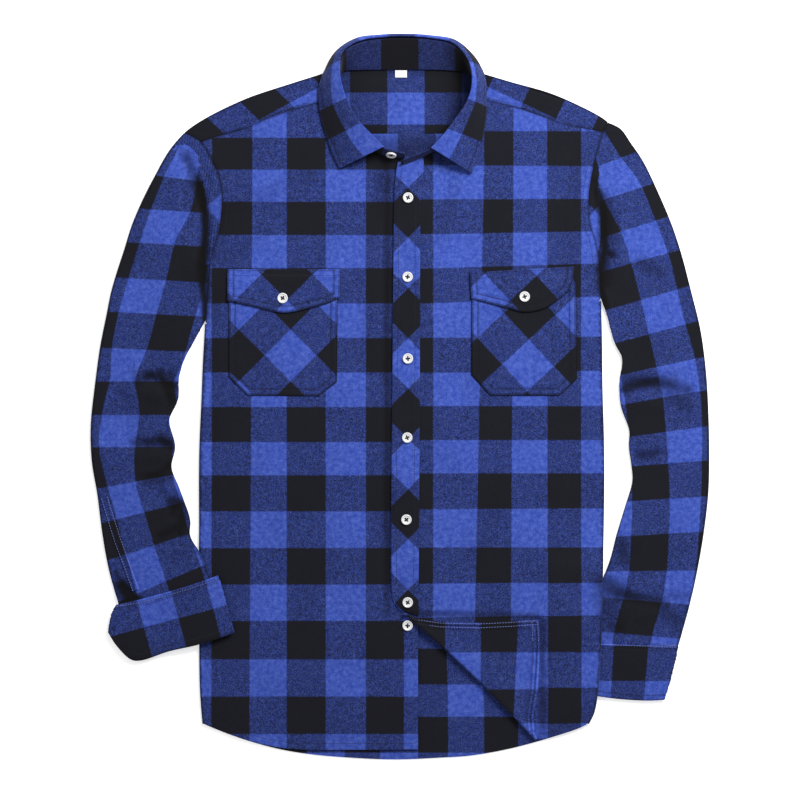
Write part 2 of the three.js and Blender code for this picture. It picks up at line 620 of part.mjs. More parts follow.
// The seam between the back and the yoke: level behind the neck, then down to both armholes
function backSeam(from, to, drop, cells) {
  const { x, y } = BACK_SEAM_LEVEL;
  const corners = [from, { x: -x, y: y - drop }, { x, y: y - drop }, to];
  return chain(cells.map((count, k) => ({ along: polyline(corners.slice(k, k + 2)), cells: count })));
}

function back() {
  const sides = [
    { hole: curve(ARMHOLE_RIGHT), side: SIDE_RIGHT, sign: 1 },
    { hole: curve(ARMHOLE_LEFT), side: SIDE_LEFT, sign: -1 },
  ].map(({ hole, side, sign }) => {
    const start = fractionAtY(hole, hole.getPointAt(BACK_SEAM_AT).y - SEW_GAP);
    const line = holeLine(hole, start, 1, sign * SEW_GAP);
    line[line.length - 1].x += sign * (EDGE_RADIUS + SEAM_GAP);
    return [...line, ...sideLine(side, sign * (EDGE_RADIUS + SEAM_GAP)).slice(1)];
  });
  const [left, right] = sides;
  const top = backSeam(left[0], right[0], SEW_GAP, [4, 4, 4]);
  const hem = chain([{ along: curve(BACK_HEM), cells: 12 }]);
  hem[0].copy(left[left.length - 1]);
  hem[hem.length - 1].copy(right[right.length - 1]);
  return new Cloth().add(span(top, hem, left, right, backHeight)).wall(CLOTH);
}

function seamLine(rows) {
  return chain([{ along: curve(rows), cells: SHOULDER_CELLS }]);
}

function frontRight() {
  const hole = curve(ARMHOLE_RIGHT);
  const seam = seamLine(YOKE_SEAM_RIGHT).reverse().map((p) => p.setY(p.y - SEW_GAP * 1.2));
  const armhole = holeLine(hole, fractionAtY(hole, seam[0].y), 1, SEW_GAP);
  const left = [...armhole, ...sideLine(SIDE_RIGHT, EDGE_RADIUS).slice(1)];
  const neckline = chain([{ along: curve(FRONT_RIGHT_NECKLINE), cells: 6 }]);
  const top = [left[0], ...seam.slice(1), ...neckline.slice(1)];
  const right = chain([{ along: polyline(FRONT_RIGHT_EDGE), cells: left.length - 1 }]);
  right[0].copy(top[top.length - 1]);
  const hem = chain([{ along: curve(FRONT_RIGHT_HEM), cells: top.length - 1 }]);
  hem[0].copy(left[left.length - 1]);
  const grid = span(top, hem, left, right, frontRightHeight);
  return new Cloth().add(grid).add(rolledSide(grid, 0, armhole.length, -1)).wall(CLOTH);
}

// The turned-up corner: the cloth rolls over along the fold and lies on its own right side
function turnedCorner(foldLine) {
  const cells = foldLine.length - 1;
  const tipCell = Math.round(cells / 2);
  const free = polyline(TURNED_CORNER);
  const tipAt = lengths(TURNED_CORNER.map(({ x, y }) => new THREE.Vector3(x, y, 0)))[TURNED_CORNER_TIP];
  const edge = chain([
    { along: portion(free, 0, tipAt), cells: tipCell },
    { along: portion(free, tipAt, 1), cells: cells - tipCell },
  ]);
  const outward = sideways(foldLine, -1);
  const rows = even(ROLL_STEPS).map((t, k) => foldLine.map((p, i) => {
    const angle = Math.PI * t;
    const reach = k === ROLL_STEPS ? 0 : FOLD_RADIUS * Math.sin(angle);
    return new THREE.Vector3(
      p.x + outward[i].x * reach,
      p.y + outward[i].y * reach,
      p.z + FOLD_RADIUS * (1 - Math.cos(angle)),
    );
  }));
  const crest = rows[rows.length - 1];
  const settled = 0.45;
  for (const t of [0.12, 0.3, 0.55, 0.8, 1]) {
    rows.push(crest.map((p, i) => {
      const q = new THREE.Vector3().lerpVectors(p, edge[i], t);
      const resting = frontLeftHeight(q.x, q.y) + NEXT_LAYER;
      q.z = THREE.MathUtils.lerp(resting, p.z, Math.max(0, 1 - t / settled) ** 1.5);
      return q;
    }));
  }
  return rows;
}

function frontLeft() {
  const hole = curve(ARMHOLE_LEFT);
  const seam = seamLine(YOKE_SEAM_LEFT).map((p) => p.setY(p.y - SEW_GAP * 1.2));
  const armhole = holeLine(hole, fractionAtY(hole, seam[SHOULDER_CELLS].y), 1, -SEW_GAP);
  const right = [...armhole, ...sideLine(SIDE_LEFT, -EDGE_RADIUS).slice(1)];
  const neckline = chain([{ along: curve(FRONT_LEFT_NECKLINE), cells: 7 }]);
  const top = [...neckline.slice(0, -1), ...seam.slice(0, -1), right[0]];
  const left = chain([{ along: curve(FRONT_LEFT_EDGE), cells: right.length - 1 }]);
  left[0].copy(top[0]);
  const foldCells = 12;
  const foldLine = inset(chain([{ along: curve(CORNER_FOLD), cells: foldCells }]), FOLD_RADIUS + CLOTH / 2);
  const hem = chain([{ along: curve(FRONT_LEFT_HEM), cells: top.length - 1 - foldCells }]);
  const bottom = [...foldLine, ...hem.slice(1)];
  bottom[0].copy(left[left.length - 1]);
  bottom[bottom.length - 1].copy(right[right.length - 1]);
  const grid = span(top, bottom, left, right, frontLeftHeight);
  const cloth = new Cloth().add(grid).add(rolledSide(grid, top.length - 1, armhole.length, 1));
  return cloth.add(turnedCorner(grid[grid.length - 1].slice(0, foldCells + 1))).wall(CLOTH);
}

// The yoke: a back plate, rolled over both shoulder lines and down to the front seams
function yoke() {
  const cloth = new Cloth();
  const halves = [
    { shoulder: SHOULDER_RIGHT, seam: YOKE_SEAM_RIGHT, neck: NECK_END_RIGHT, hole: curve(ARMHOLE_RIGHT), sign: 1 },
    { shoulder: SHOULDER_LEFT, seam: YOKE_SEAM_LEFT, neck: NECK_END_LEFT, hole: curve(ARMHOLE_LEFT), sign: -1 },
  ].map(({ shoulder, seam, neck, hole, sign }) => {
    const top = inset(chain([{ along: curve(shoulder), cells: SHOULDER_CELLS }]), EDGE_RADIUS * sign);
    const foot = seamLine(seam);
    const stop = fractionAtY(hole, foot[SHOULDER_CELLS].y);
    const armhole = chain([{ along: polyline(holeLine(hole, 0, stop, sign * SEW_GAP)), cells: 2 }]);
    const neckLine = chain([{ along: polyline(neck), cells: 2 }]);
    neckLine[0].copy(top[0]);
    armhole[0].copy(top[SHOULDER_CELLS]).setX(top[SHOULDER_CELLS].x + sign * SHOULDER_END_GAP);
    top[SHOULDER_CELLS].copy(armhole[0]);
    foot[SHOULDER_CELLS].copy(armhole[2]);
    const grid = span(top, foot, neckLine, armhole, () => TOP_LAYER);
    const roll = edgeRoll(grid[0], sideways(grid[0], -sign), () => FLOOR_LAYER);
    cloth.add(grid).add(roll);
    const line = roll[ROLL_STEPS];
    const backHole = holeLine(hole, 0, BACK_SEAM_AT, sign * SEW_GAP);
    backHole[0].copy(line[SHOULDER_CELLS]);
    return { line, backHole };
  });
  const [right, left] = halves;
  const neckline = chain([{ along: curve(BACK_NECKLINE), cells: 6 }]).slice(1, -1);
  const top = [...[...right.line].reverse(), ...neckline, ...left.line];
  const ends = [right, left].map(({ backHole }) => backHole[backHole.length - 1]);
  const foot = backSeam(ends[0], ends[1], 0, [SHOULDER_CELLS, top.length - 1 - 2 * SHOULDER_CELLS, SHOULDER_CELLS]);
  cloth.add(span(top, foot, right.backHole, left.backHole, () => FLOOR_LAYER));
  return cloth.wall(CLOTH);
}

// What lies on the fronts

function placket() {
  const left = chain([{ along: curve(PLACKET_LEFT), cells: 22 }]);
  const right = chain([{ along: curve(PLACKET_RIGHT), cells: 22 }]);
  const top = chain([{ along: polyline([PLACKET_LEFT[0], PLACKET_RIGHT[0]]), cells: 3 }]);
  const foot = chain([{ along: curve(PLACKET_FOOT), cells: 3 }]);
  const height = (x, y) => frontLeftHeight(x, y) + NEXT_LAYER;
  return new Cloth().add(span(top, foot, left, right, height)).wall(CLOTH);
}

function downTo(path, y, cells) {
  const at = fractionAtY(path, y);
  return chain([{ along: portion(path, 0, at), cells: 1 }, { along: portion(path, at, 1), cells: cells - 1 }]);
}

function frontUnder(x, y) {
  return x < 0 ? frontRightHeight(x, y) : frontLeftHeight(x, y);
}

function pocket({ top, foot, left, right }) {
  const across = [2, 5, 2];
  return new Cloth().add(span(
    chain([{ along: polyline(top), cells: 9 }]),
    chain(across.map((cells, k) => ({ along: polyline(foot.slice(k, k + 2)), cells }))),
    chain([{ along: polyline(left), cells: 7 }]),
    chain([{ along: polyline(right), cells: 7 }]),
    (x, y) => frontUnder(x, y) + NEXT_LAYER,
  )).wall(CLOTH);
}

function flapHeight(x, y) {
  const layers = 1 + ramp(POCKET_MOUTH_Y.over, POCKET_MOUTH_Y.under, y);
  return frontUnder(x, y) + layers * NEXT_LAYER;
}

function flap({ top, foot, left, right }) {
  return new Cloth().add(span(
    chain([{ along: polyline(top), cells: 10 }]),
    chain([{ along: curve(foot), cells: 10 }]),
    downTo(polyline(left), POCKET_MOUTH_Y.under, 4),
    downTo(curve(right), POCKET_MOUTH_Y.under, 4),
    flapHeight,
  )).wall(CLOTH);
}

// Sleeves and cuffs

// A flattened tube: an upper and a lower layer in one outline, rolled together along both sides
function flatTube(top, foot, outer, inner, upper, lower) {
  const above = span(top, foot, outer, inner, upper);
  const below = above.map((row) => row.map((p) => new THREE.Vector3(p.x, p.y, lower(p.x, p.y))));
  const cloth = new Cloth().add(above).add(below);
  [0, top.length - 1].forEach((column) => {
    const line = above.map((row) => row[column]);
    const towards = above.map((row) => {
      const neighbour = row[column === 0 ? 1 : column - 1];
      return new THREE.Vector3().subVectors(row[column], neighbour).setZ(0).normalize();
    });
    cloth.add(edgeRoll(line, towards, lower));
  });
  return cloth;
}

function insetEdges({ outer, inner }, radius, sign) {
  return {
    outer: inset(outer, radius * sign),
    inner: inset(inner, -radius * sign),
  };
}

function sleeve(outline, hole, heights, sign, bands) {
  const lines = [outline.outer, outline.inner].map((rows, side) => {
    const whole = curve(rows);
    const stops = [0, ...bands.map(({ y }) => (y === undefined ? 1 : fractionAtY(whole, y[side])))];
    return chain(bands.map(({ cells }, k) => ({ along: portion(whole, stops[k], stops[k + 1]), cells })));
  });
  const { outer, inner } = insetEdges({ outer: lines[0], inner: lines[1] }, EDGE_RADIUS, sign);
  const top = even(HOLE_CELLS).map((t) => curve(hole).getPointAt(t));
  top[0].copy(outer[0]);
  top[HOLE_CELLS].copy(inner[0]);
  const foot = chain([{ along: polyline([outer[outer.length - 1], inner[inner.length - 1]]), cells: HOLE_CELLS }]);
  return flatTube(top, foot, outer, inner, heights.upper, heights.lower).wall(CLOTH);
}

const sleeveRightHeights = {
  lower: (x, y) => FLOOR_LAYER + cuffLift(x, y)
    + TURNED_CUFF_RISE * ramp(-16, -3, insideTurnedCuff(x, y)),
  upper: (x, y) => {
    const inside = ramp(-16, -3, insideTurnedCuff(x, y));
    return TOP_LAYER + cuffLift(x, y) + folds(x, y) * (1 - inside) + SEAM_GAP * inside;
  },
};

const sleeveLeftHeights = {
  lower: () => FLOOR_LAYER,
  upper: (x, y) => TOP_LAYER + folds(x, y),
};

function cuff({ top, foot, outer, inner }, radius, lowest, sign, lift) {
  const cells = { across: 9, down: 5 };
  const lines = insetEdges({
    outer: chain([{ along: curve(outer), cells: cells.down }]),
    inner: chain([{ along: curve(inner), cells: cells.down }]),
  }, radius, sign);
  const topLine = chain([{ along: curve(top), cells: cells.across }]);
  topLine[0].copy(lines.outer[0]);
  topLine[cells.across].copy(lines.inner[0]);
  const footLine = chain([{ along: curve(foot), cells: cells.across }]);
  footLine[0].copy(lines.outer[cells.down]);
  footLine[cells.across].copy(lines.inner[cells.down]);
  const lower = (x, y) => lowest + lift(x, y);
  const upper = (x, y) => lower(x, y) + 2 * radius;
  return flatTube(topLine, footLine, lines.outer, lines.inner, upper, lower).wall(BAND);
}

function sleeveSlit() {
  const middle = chain([{ along: curve(SLEEVE_SLIT), cells: 10 }]);
  const grid = [-1, 0, 1].map((side) => inset(middle, (side * SLEEVE_SLIT_WIDTH) / 2).map((p) => {
    p.z = sleeveRightHeights.upper(p.x, p.y) + NEXT_LAYER;
    return p;
  }));
  return new Cloth().add(grid).wall(CLOTH);
}

// Collar

// A point as seen from above, moved to where it stands at its height
function seenAt(x, y, z) {
  const nearer = 1 - z / VIEW_DISTANCE;
  return new THREE.Vector3(x * nearer, y * nearer, z);
}

function smoothRows(rows, count) {
  const along = new THREE.CatmullRomCurve3(rows, false, 'centripetal');
  return even(count).map((t) => along.getPoint(t));
}

const standRows = STAND.map((row) => {
  const foot = seenAt(row.nx, row.ny, row.nz);
  const crest = seenAt(row.tx, row.ty, row.tz);
  const head = crest.clone().lerp(foot, LEAF_CREST_GAP / crest.distanceTo(foot));
  return { foot, crest, head };
});

function standGrid(count) {
  const foot = smoothRows(standRows.map((row) => row.foot), count);
  const head = smoothRows(standRows.map((row) => row.head), count);
  return even(3).map((t) => foot.map((p, k) => p.clone().lerp(head[k], t)));
}

function collarStand() {
  return new Cloth().add(standGrid(36)).wall(BAND);
}

function collarLeaf() {
  const rows = standRows.slice(LEAF_FIRST_ROW, LEAF_LAST_ROW + 1).map(({ crest }, k) => {
    const { ex, ey, ez, bx, by, bz } = COLLAR_LEAF[k];
    const edge = seenAt(ex, ey, ez);
    const bend = bx === undefined
      ? crest.clone().lerp(edge, 0.5).add(new THREE.Vector3(0, 0, LEAF_CROWN))
      : seenAt(bx, by, bz);
    return { crest, bend, edge };
  });
  const count = 34;
  const lines = ['crest', 'bend', 'edge'].map((name) => smoothRows(rows.map((row) => row[name]), count));
  const grid = even(5).map((t) => lines[0].map((crest, k) => (
    new THREE.QuadraticBezierCurve3(crest, lines[1][k], lines[2][k]).getPoint(t)
  )));
  return new Cloth().add(grid).wall(LEAF);
}

function neckLabel() {
  const { x, y, width, depth } = LABEL_PLACE;
  const geometry = new THREE.BoxGeometry(width, depth, LABEL);
  geometry.translate(x, y, CLOTH + SEAM_GAP + LABEL / 2);
  return geometry;
}

// Buttons

function buttonGeometry() {
  const profile = [
    { r: 0, z: 0 }, { r: 0.86, z: 0 }, { r: 1, z: 0.35 }, { r: 0.95, z: 0.85 },
    { r: 0.8, z: 1 }, { r: 0.68, z: 0.68 }, { r: 0, z: 0.62 },
  ].map(({ r, z }) => new THREE.Vector2(r * BUTTON_RADIUS, z * BUTTON_HEIGHT));
  const geometry = new THREE.LatheGeometry(profile, 14);
  geometry.rotateX(Math.PI / 2);
  return geometry;
}

const shirt = new THREE.Group();

function addMesh(name, geometry, look) {
  const mesh = new THREE.Mesh(geometry, new THREE.MeshStandardMaterial(COLOURS[look]));
  mesh.name = name;
  shirt.add(mesh);
  return mesh;
}

function addButton(name, x, y, clothMiddle) {
  const mesh = addMesh(name, buttonGeometry(), 'button');
  mesh.position.set(x, y, clothMiddle + CLOTH / 2 + SEAM_GAP);
}

function addStandButton(name) {
  const count = 400;
  const grid = standGrid(count);
  const k = Math.round(STAND_BUTTON_AT * count);
  const foot = grid[0][k];
  const head = grid[3][k];
  const up = new THREE.Vector3().subVectors(head, foot);
  const along = new THREE.Vector3().subVectors(grid[0][k + 1], grid[0][k - 1]);
  const out = new THREE.Vector3().crossVectors(up, along).normalize();
  if (out.y > 0) out.negate();
  const mesh = addMesh(name, buttonGeometry(), 'button');
  mesh.position.copy(foot).addScaledVector(up, STAND_BUTTON_UP).addScaledVector(out, BAND / 2 + SEAM_GAP * 2);
  mesh.quaternion.setFromUnitVectors(new THREE.Vector3(0, 0, 1), out);
}

// The shirt

addMesh('back', back(), 'check');
addMesh('yoke', yoke(), 'check');
addMesh('front_right', frontRight(), 'check');
addMesh('front_left', frontLeft(), 'check');
addMesh('placket', placket(), 'check');

addMesh('sleeve_right', sleeve(SLEEVE_RIGHT, ARMHOLE_RIGHT, sleeveRightHeights, 1, [
  { y: [-209, -177], cells: 17 },
  { y: [-226, -194], cells: 1 },
  { cells: 1 },
]), 'check');
addMesh('sleeve_left', sleeve(SLEEVE_LEFT, ARMHOLE_LEFT, sleeveLeftHeights, -1, [{ cells: 20 }]), 'check');
addMesh('sleeve_slit', sleeveSlit(), 'check');
addMesh('cuff_right', cuff(CUFF_RIGHT, 2.85, BAND / 2, 1, cuffLift), 'check');
addMesh('cuff_left', cuff(CUFF_LEFT, 1.65, BAND / 2, -1, () => 0), 'check');

POCKETS.forEach((shape) => addMesh(shape.name, pocket(shape), 'check'));
FLAPS.forEach((shape) => addMesh(shape.name, flap(shape), 'check'));

addMesh('collar_stand', collarStand(), 'check');
addMesh('collar_leaf', collarLeaf(), 'check');
addMesh('neck_label', neckLabel(), 'label');

PLACKET_BUTTONS.forEach(({ x, y }, k) => {
  addButton(`placket_button_${k + 1}`, x, y, frontLeftHeight(x, y) + NEXT_LAYER);
});
addButton('lower_button', LOWER_BUTTON.x, LOWER_BUTTON.y, frontRightHeight(LOWER_BUTTON.x, LOWER_BUTTON.y));
FLAPS.forEach(({ name, button }) => {
  addButton(`${name}_button`, button.x, button.y, flapHeight(button.x, button.y));
});
addStandButton('stand_button');

export default shirt;
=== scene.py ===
"""Looks of a long-sleeved flannel shirt that lies flat on its back, seen from straight above.

Lengths are millimetres in the row's frame: x across the shirt, y from the hem to the collar, z up from the table.
The wearer's right is on the negative x side. Tables of outlines have the columns (x, y).
"""

import logging
import math
from dataclasses import dataclass, field
from typing import Callable, Sequence

import bmesh
import bpy
import numpy as np
from mathutils import Matrix, Vector


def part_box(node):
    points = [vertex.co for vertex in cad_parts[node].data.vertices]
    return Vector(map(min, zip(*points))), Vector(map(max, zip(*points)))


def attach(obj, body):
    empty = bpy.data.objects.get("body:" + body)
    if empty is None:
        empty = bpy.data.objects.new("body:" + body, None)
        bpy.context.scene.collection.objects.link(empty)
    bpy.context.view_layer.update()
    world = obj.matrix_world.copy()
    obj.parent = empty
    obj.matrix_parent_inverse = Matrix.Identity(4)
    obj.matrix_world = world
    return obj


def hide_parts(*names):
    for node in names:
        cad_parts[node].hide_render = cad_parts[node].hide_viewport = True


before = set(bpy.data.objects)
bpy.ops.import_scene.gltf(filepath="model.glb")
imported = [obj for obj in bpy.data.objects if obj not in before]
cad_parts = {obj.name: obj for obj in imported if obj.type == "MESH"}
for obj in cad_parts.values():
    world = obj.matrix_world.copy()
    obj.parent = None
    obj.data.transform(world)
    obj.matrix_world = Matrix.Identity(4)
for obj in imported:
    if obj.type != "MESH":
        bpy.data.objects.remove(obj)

Rows = Sequence[Sequence[float]]
Height = Callable[[np.ndarray, np.ndarray], np.ndarray]
Squares = Callable[[np.ndarray, np.ndarray], np.ndarray]

MM = 0.001
CLOTH = 1.2
BAND = 1.8
LEAF = 1.6
SEW_GAP = 0.05
STEP = 1.5
EDGE_RADIUS = 1.8
FLOOR_LAYER = CLOTH / 2
TOP_LAYER = FLOOR_LAYER + 2 * EDGE_RADIUS
HEM_DROP = 0.9
OVERLAP_RISE = 1.5
CUFF_BUMP = 5.6
CUFF_LIFT = 5.4
TURNED_CUFF_RISE = 2.1
TURNED_CUFF_RADIUS = 2.85
FLAT_CUFF_RADIUS = 1.65
FOLD_RADIUS = 2.0
VIEW_DISTANCE = 2440.0
LEAF_CREST_GAP = 2.7
LEAF_CROWN = 5.0
SQUARE = 41.5
COARSE = 3.2
MEDIUM = 2.4
FINE = 1.5

# Columns: x, y
SHOULDER_RIGHT = (
    (-77, 356.8), (-121, 343), (-165, 328.4), (-198, 313.5), (-220, 301.4), (-236.5, 290),
)
SHOULDER_LEFT = (
    (92, 354), (121, 345.4), (165, 332.8), (198, 318.5), (220, 306.9), (228.3, 301),
)
YOKE_SEAM_RIGHT = (
    (-64.5, 329.5), (-88, 323.4), (-110, 318), (-132, 310.2), (-154, 302), (-170.5, 295),
    (-192.5, 288.6), (-218.6, 279.4),
)
YOKE_SEAM_LEFT = (
    (82.5, 329), (110, 322.3), (132, 316.3), (165, 304.7), (187, 298), (222.6, 290.6),
)
BACK_NECKLINE = (
    (-77, 356.8), (-60, 359.5), (0, 361.5), (60, 359.5), (92, 354),
)
NECK_END_RIGHT = (
    (-77, 356.8), (-69, 340), (-64.5, 329.5),
)
NECK_END_LEFT = (
    (92, 354), (87, 342), (82.5, 329),
)
ARMHOLE_RIGHT = (
    (-236.5, 290), (-218.6, 279.4), (-208, 262), (-198, 238.7), (-195.3, 214.5), (-199, 181.5),
    (-206.8, 153), (-211, 118), (-213.4, 82.5),
)
ARMHOLE_LEFT = (
    (228.3, 301), (222.6, 290.6), (216.7, 271.7), (211, 247.5), (206.8, 216.7), (209, 188),
    (214.5, 169.4), (218, 148.5), (220, 107.8),
)
SIDE_RIGHT = (
    (-213.4, 82.5), (-216.2, 18.7), (-219, -47), (-220, -135), (-220, -273), (-219, -322),
    (-216.7, -358.6),
)
SIDE_LEFT = (
    (220, 107.8), (221.7, 18.7), (223.9, -91), (222.8, -157), (220.6, -245), (217.3, -311),
    (212.5, -346), (206.8, -358.6),
)
BACK_HEM = (
    (-216.7, -358.6), (-192.5, -368.5), (-165, -378), (-132, -386.7), (-99, -392.2), (-55, -396),
    (-5, -398), (44, -396), (77, -393.8), (121, -386), (165, -374), (195.8, -364), (206.8, -358.6),
)
FRONT_RIGHT_HEM = (
    (-216.7, -358), (-192.5, -367.5), (-165, -377), (-132, -384.5), (-99, -386.8), (-40, -387),
    (19.8, -386.5),
)
FRONT_RIGHT_NECKLINE = (
    (-64.5, 329.5), (-59.5, 318.5), (-49.5, 298), (-36.5, 281.8), (-19, 268.8), (-4, 265), (19.8, 263),
)
FRONT_RIGHT_EDGE = (
    (19.8, 263), (19.8, -386.5),
)
FRONT_LEFT_NECKLINE = (
    (-3, 257.4), (17.6, 259.5), (34, 268.4), (49, 286), (62, 301.4), (73.5, 318), (82.5, 329),
)
FRONT_LEFT_EDGE = (
    (-3, 257.4), (-5, 244), (-6.6, 216.7), (-7.7, 128.7), (-8.8, -3.3), (-9.9, -135), (-9.4, -212),
    (-5.2, -227.4), (3.3, -237.2),
)
CORNER_FOLD = (
    (3.3, -237.2), (35.2, -264), (60.5, -287), (99, -324), (148.5, -376),
)
FRONT_LEFT_HEM = (
    (148.5, -376), (165, -373), (195, -363.5), (206.8, -358),
)
TURNED_CORNER = (
    (6, -237.6), (16.5, -242.4), (44, -246.5), (88, -247.5), (121, -246), (152, -243.6), (153.5, -267),
    (152.9, -289), (150.7, -322), (146, -350), (148, -371),
)
PLACKET_LEFT = (
    (-2.4, 257), (-4.6, 244), (-6.3, 216.7), (-7.4, 128.7), (-8.5, -3.3), (-9.6, -135), (-9.2, -210),
)
PLACKET_RIGHT = (
    (25.5, 262), (26, 249.7), (23.1, 216.7), (22, 84.7), (21.5, -47.3), (20.4, -223.3), (20.4, -240),
)
PLACKET_FOOT = (
    (-9.2, -210), (-5, -224), (4, -233.5), (20.4, -240),
)
PLACKET_BUTTONS = (
    (8.8, 218.2), (8.3, 131.5), (8.6, 42), (7.9, -44.5), (7, -134.3), (8.4, -225),
)

SLEEVE_RIGHT_OUTER = (
    (-236.5, 290), (-252, 271.7), (-267.3, 244.2), (-281.6, 216.7), (-293.7, 189.2), (-302.5, 161.7),
    (-315.7, 117.7), (-321.2, 90), (-329, 51.7), (-335.5, 2.2), (-338.8, -36.3), (-337.7, -71.5),
    (-332.2, -105.6), (-326.7, -146.3), (-319, -190.3), (-309, -227.7), (-305, -247),
)
SLEEVE_RIGHT_INNER = (
    (-213.4, 82.5), (-225.5, 59.4), (-236.5, 38.5), (-242, 18.7), (-242.5, -3.3), (-252, -26.4),
    (-245.5, -54), (-249.5, -76), (-241, -100), (-230, -134), (-230, -151), (-220, -169.4),
    (-208, -198), (-203, -221),
)
SLEEVE_LEFT_OUTER = (
    (228.3, 301), (242, 293.7), (253, 278.3), (266.2, 258.5), (282.7, 224.4), (298, 189.2), (307, 161.7),
    (318, 121), (329, 76), (334.4, 35.2), (338.3, -25.3), (338.8, -69.3), (337.7, -107.8), (333.3, -146.3),
    (326.7, -184.8), (318, -226.6), (309, -259.6), (305, -272.8),
)
SLEEVE_LEFT_INNER = (
    (220, 107.8), (227.7, 84.7), (234.3, 59.4), (243, 40.7), (239.8, 13.2), (241, -8.8), (250.3, -36.3),
    (250, -53), (253, -75), (254, -91), (246.4, -118.8), (237.6, -149.6), (230, -179.3), (221, -201.3),
    (208, -225), (196, -248), (188, -268.2),
)
SLEEVE_SLIT = (
    (-324, -110), (-317, -133), (-309, -158), (-301, -180), (-292.6, -203), (-289.5, -212),
)

# Columns: x1, y1, x2, y2, height, half width; the first rows are in the solids too
FOLDS = (
    (-235, 262, -217, 212, -2.0, 6), (-216, 205, -214, 112, -2.0, 5), (-206, 232, -205, 165, 1.2, 5),
    (-247, 245, -228, 140, 1.3, 12), (-292, 25, -250, 14, -1.7, 5), (-288, 6, -252, 2, 1.3, 8),
    (-290, -50, -254, -52, -1.7, 5), (-286, -66, -254, -66, 1.3, 7), (-258, -110, -236, -116, -1.6, 5),
    (223, 222, 227, 122, -2.0, 5), (240, 230, 244, 130, 1.3, 10), (248, 18, 316, 8, -1.6, 7),
    (252, -8, 320, -12, 1.2, 9), (258, -64, 290, -62, -1.6, 5), (240, -222, 310, -220, -1.3, 6),
    (-176, 250, -182, -300, 0.6, 14), (150, 260, 158, -260, 0.5, 16), (-60, 230, -52, -330, 0.5, 14),
)

# Columns: stand foot x, y, z, stand top x, y, z
STAND = (
    (5.5, 262.9, 6.8, 5.5, 269, 19), (-4.4, 263.5, 6.4, -3.3, 271.2, 22), (-19.8, 267.3, 6.1, -17.6, 275, 25),
    (-37.4, 280.5, 5.8, -33, 290.4, 28), (-50.6, 297, 5.5, -46.2, 304.7, 29),
    (-60.5, 317.9, 5.4, -56.1, 321.2, 30), (-65.5, 337.7, 5.3, -62.7, 339, 30), (-68, 351, 4.4, -66, 358, 28),
    (-62, 357.8, 3.0, -62.7, 379.5, 24), (-46.2, 359.2, 2.6, -44, 391.6, 18), (-22, 359.7, 2.6, -22, 395.5, 16),
    (5.5, 359.7, 2.6, 5.5, 396.6, 15.5), (33, 359.7, 2.6, 33, 394.9, 16), (57.2, 358.7, 2.6, 57.2, 389.4, 18),
    (75, 356, 3.2, 72.6, 374, 24), (82.5, 348, 4.6, 78.7, 357.5, 28), (82, 334.4, 5.3, 78, 337.7, 30),
    (74.8, 317.9, 5.4, 71.5, 321.2, 30), (63.8, 301.4, 5.6, 61.6, 306.9, 29), (50.6, 286, 6.2, 48.4, 289.3, 28),
    (36.3, 270.6, 7.4, 34.1, 273.9, 25), (17.6, 261.3, 9.2, 16.5, 267.3, 20), (1.1, 255.2, 9.4, 1.1, 261.3, 17),
)
LEAF_FIRST, LEAF_LAST = 2, 20

# Columns: free edge x, y, z, and for the back of the neck the point that the bend is drawn towards
COLLAR_LEAF = (
    (-66, 250.8, 7.6), (-73.7, 266, 7.2), (-80.9, 287.1, 7.2), (-86.4, 306.9, 7.2), (-89.1, 325.6, 7.6),
    (-88.6, 342.1, 7.8), (-79.2, 360.8, 6.5, -76, 381, 14), (-52.8, 367.4, 1.3, -52, 402, 3),
    (-24, 367.4, 1.3, -24, 405, 2), (5.5, 367.4, 1.3, 5.5, 406, 2), (33, 367.4, 1.3, 35, 404.2, 2),
    (60.5, 367.4, 1.3, 65, 399.5, 3), (88, 360.8, 6.5, 85, 376, 14), (94, 346.5, 7.8), (94.6, 328.9, 7.6),
    (94.6, 312.4, 7.2), (92.4, 294.8, 7.2), (88, 273, 7.4), (78.7, 245.3, 7.6),
)

LOWER_BUTTON = (8.3, -250.6)
FLAP_RIGHT_BUTTON = (-128.5, 108.2)
FLAP_LEFT_BUTTON = (136.4, 109.8)

# Tops, feet, outer and inner edges
CUFF_RIGHT = (
    ((-313, -228.5), (-286, -222.2), (-236, -208), (-198, -195)),
    ((-321, -256), (-310, -273), (-294, -288), (-283, -288.5), (-253, -278.5), (-220, -270.6), (-179.5, -257.5)),
    ((-313, -228.5), (-317.5, -238), (-321, -256)),
    ((-198, -195), (-188, -228), (-179.5, -257.5)),
)
CUFF_LEFT = (
    ((306.5, -273.1), (187, -268.5)),
    ((291, -332), (270, -332.8), (235, -330.5), (180, -322)),
    ((306.5, -273.1), (300, -302), (291, -332)),
    ((187, -268.5), (180, -322)),
)

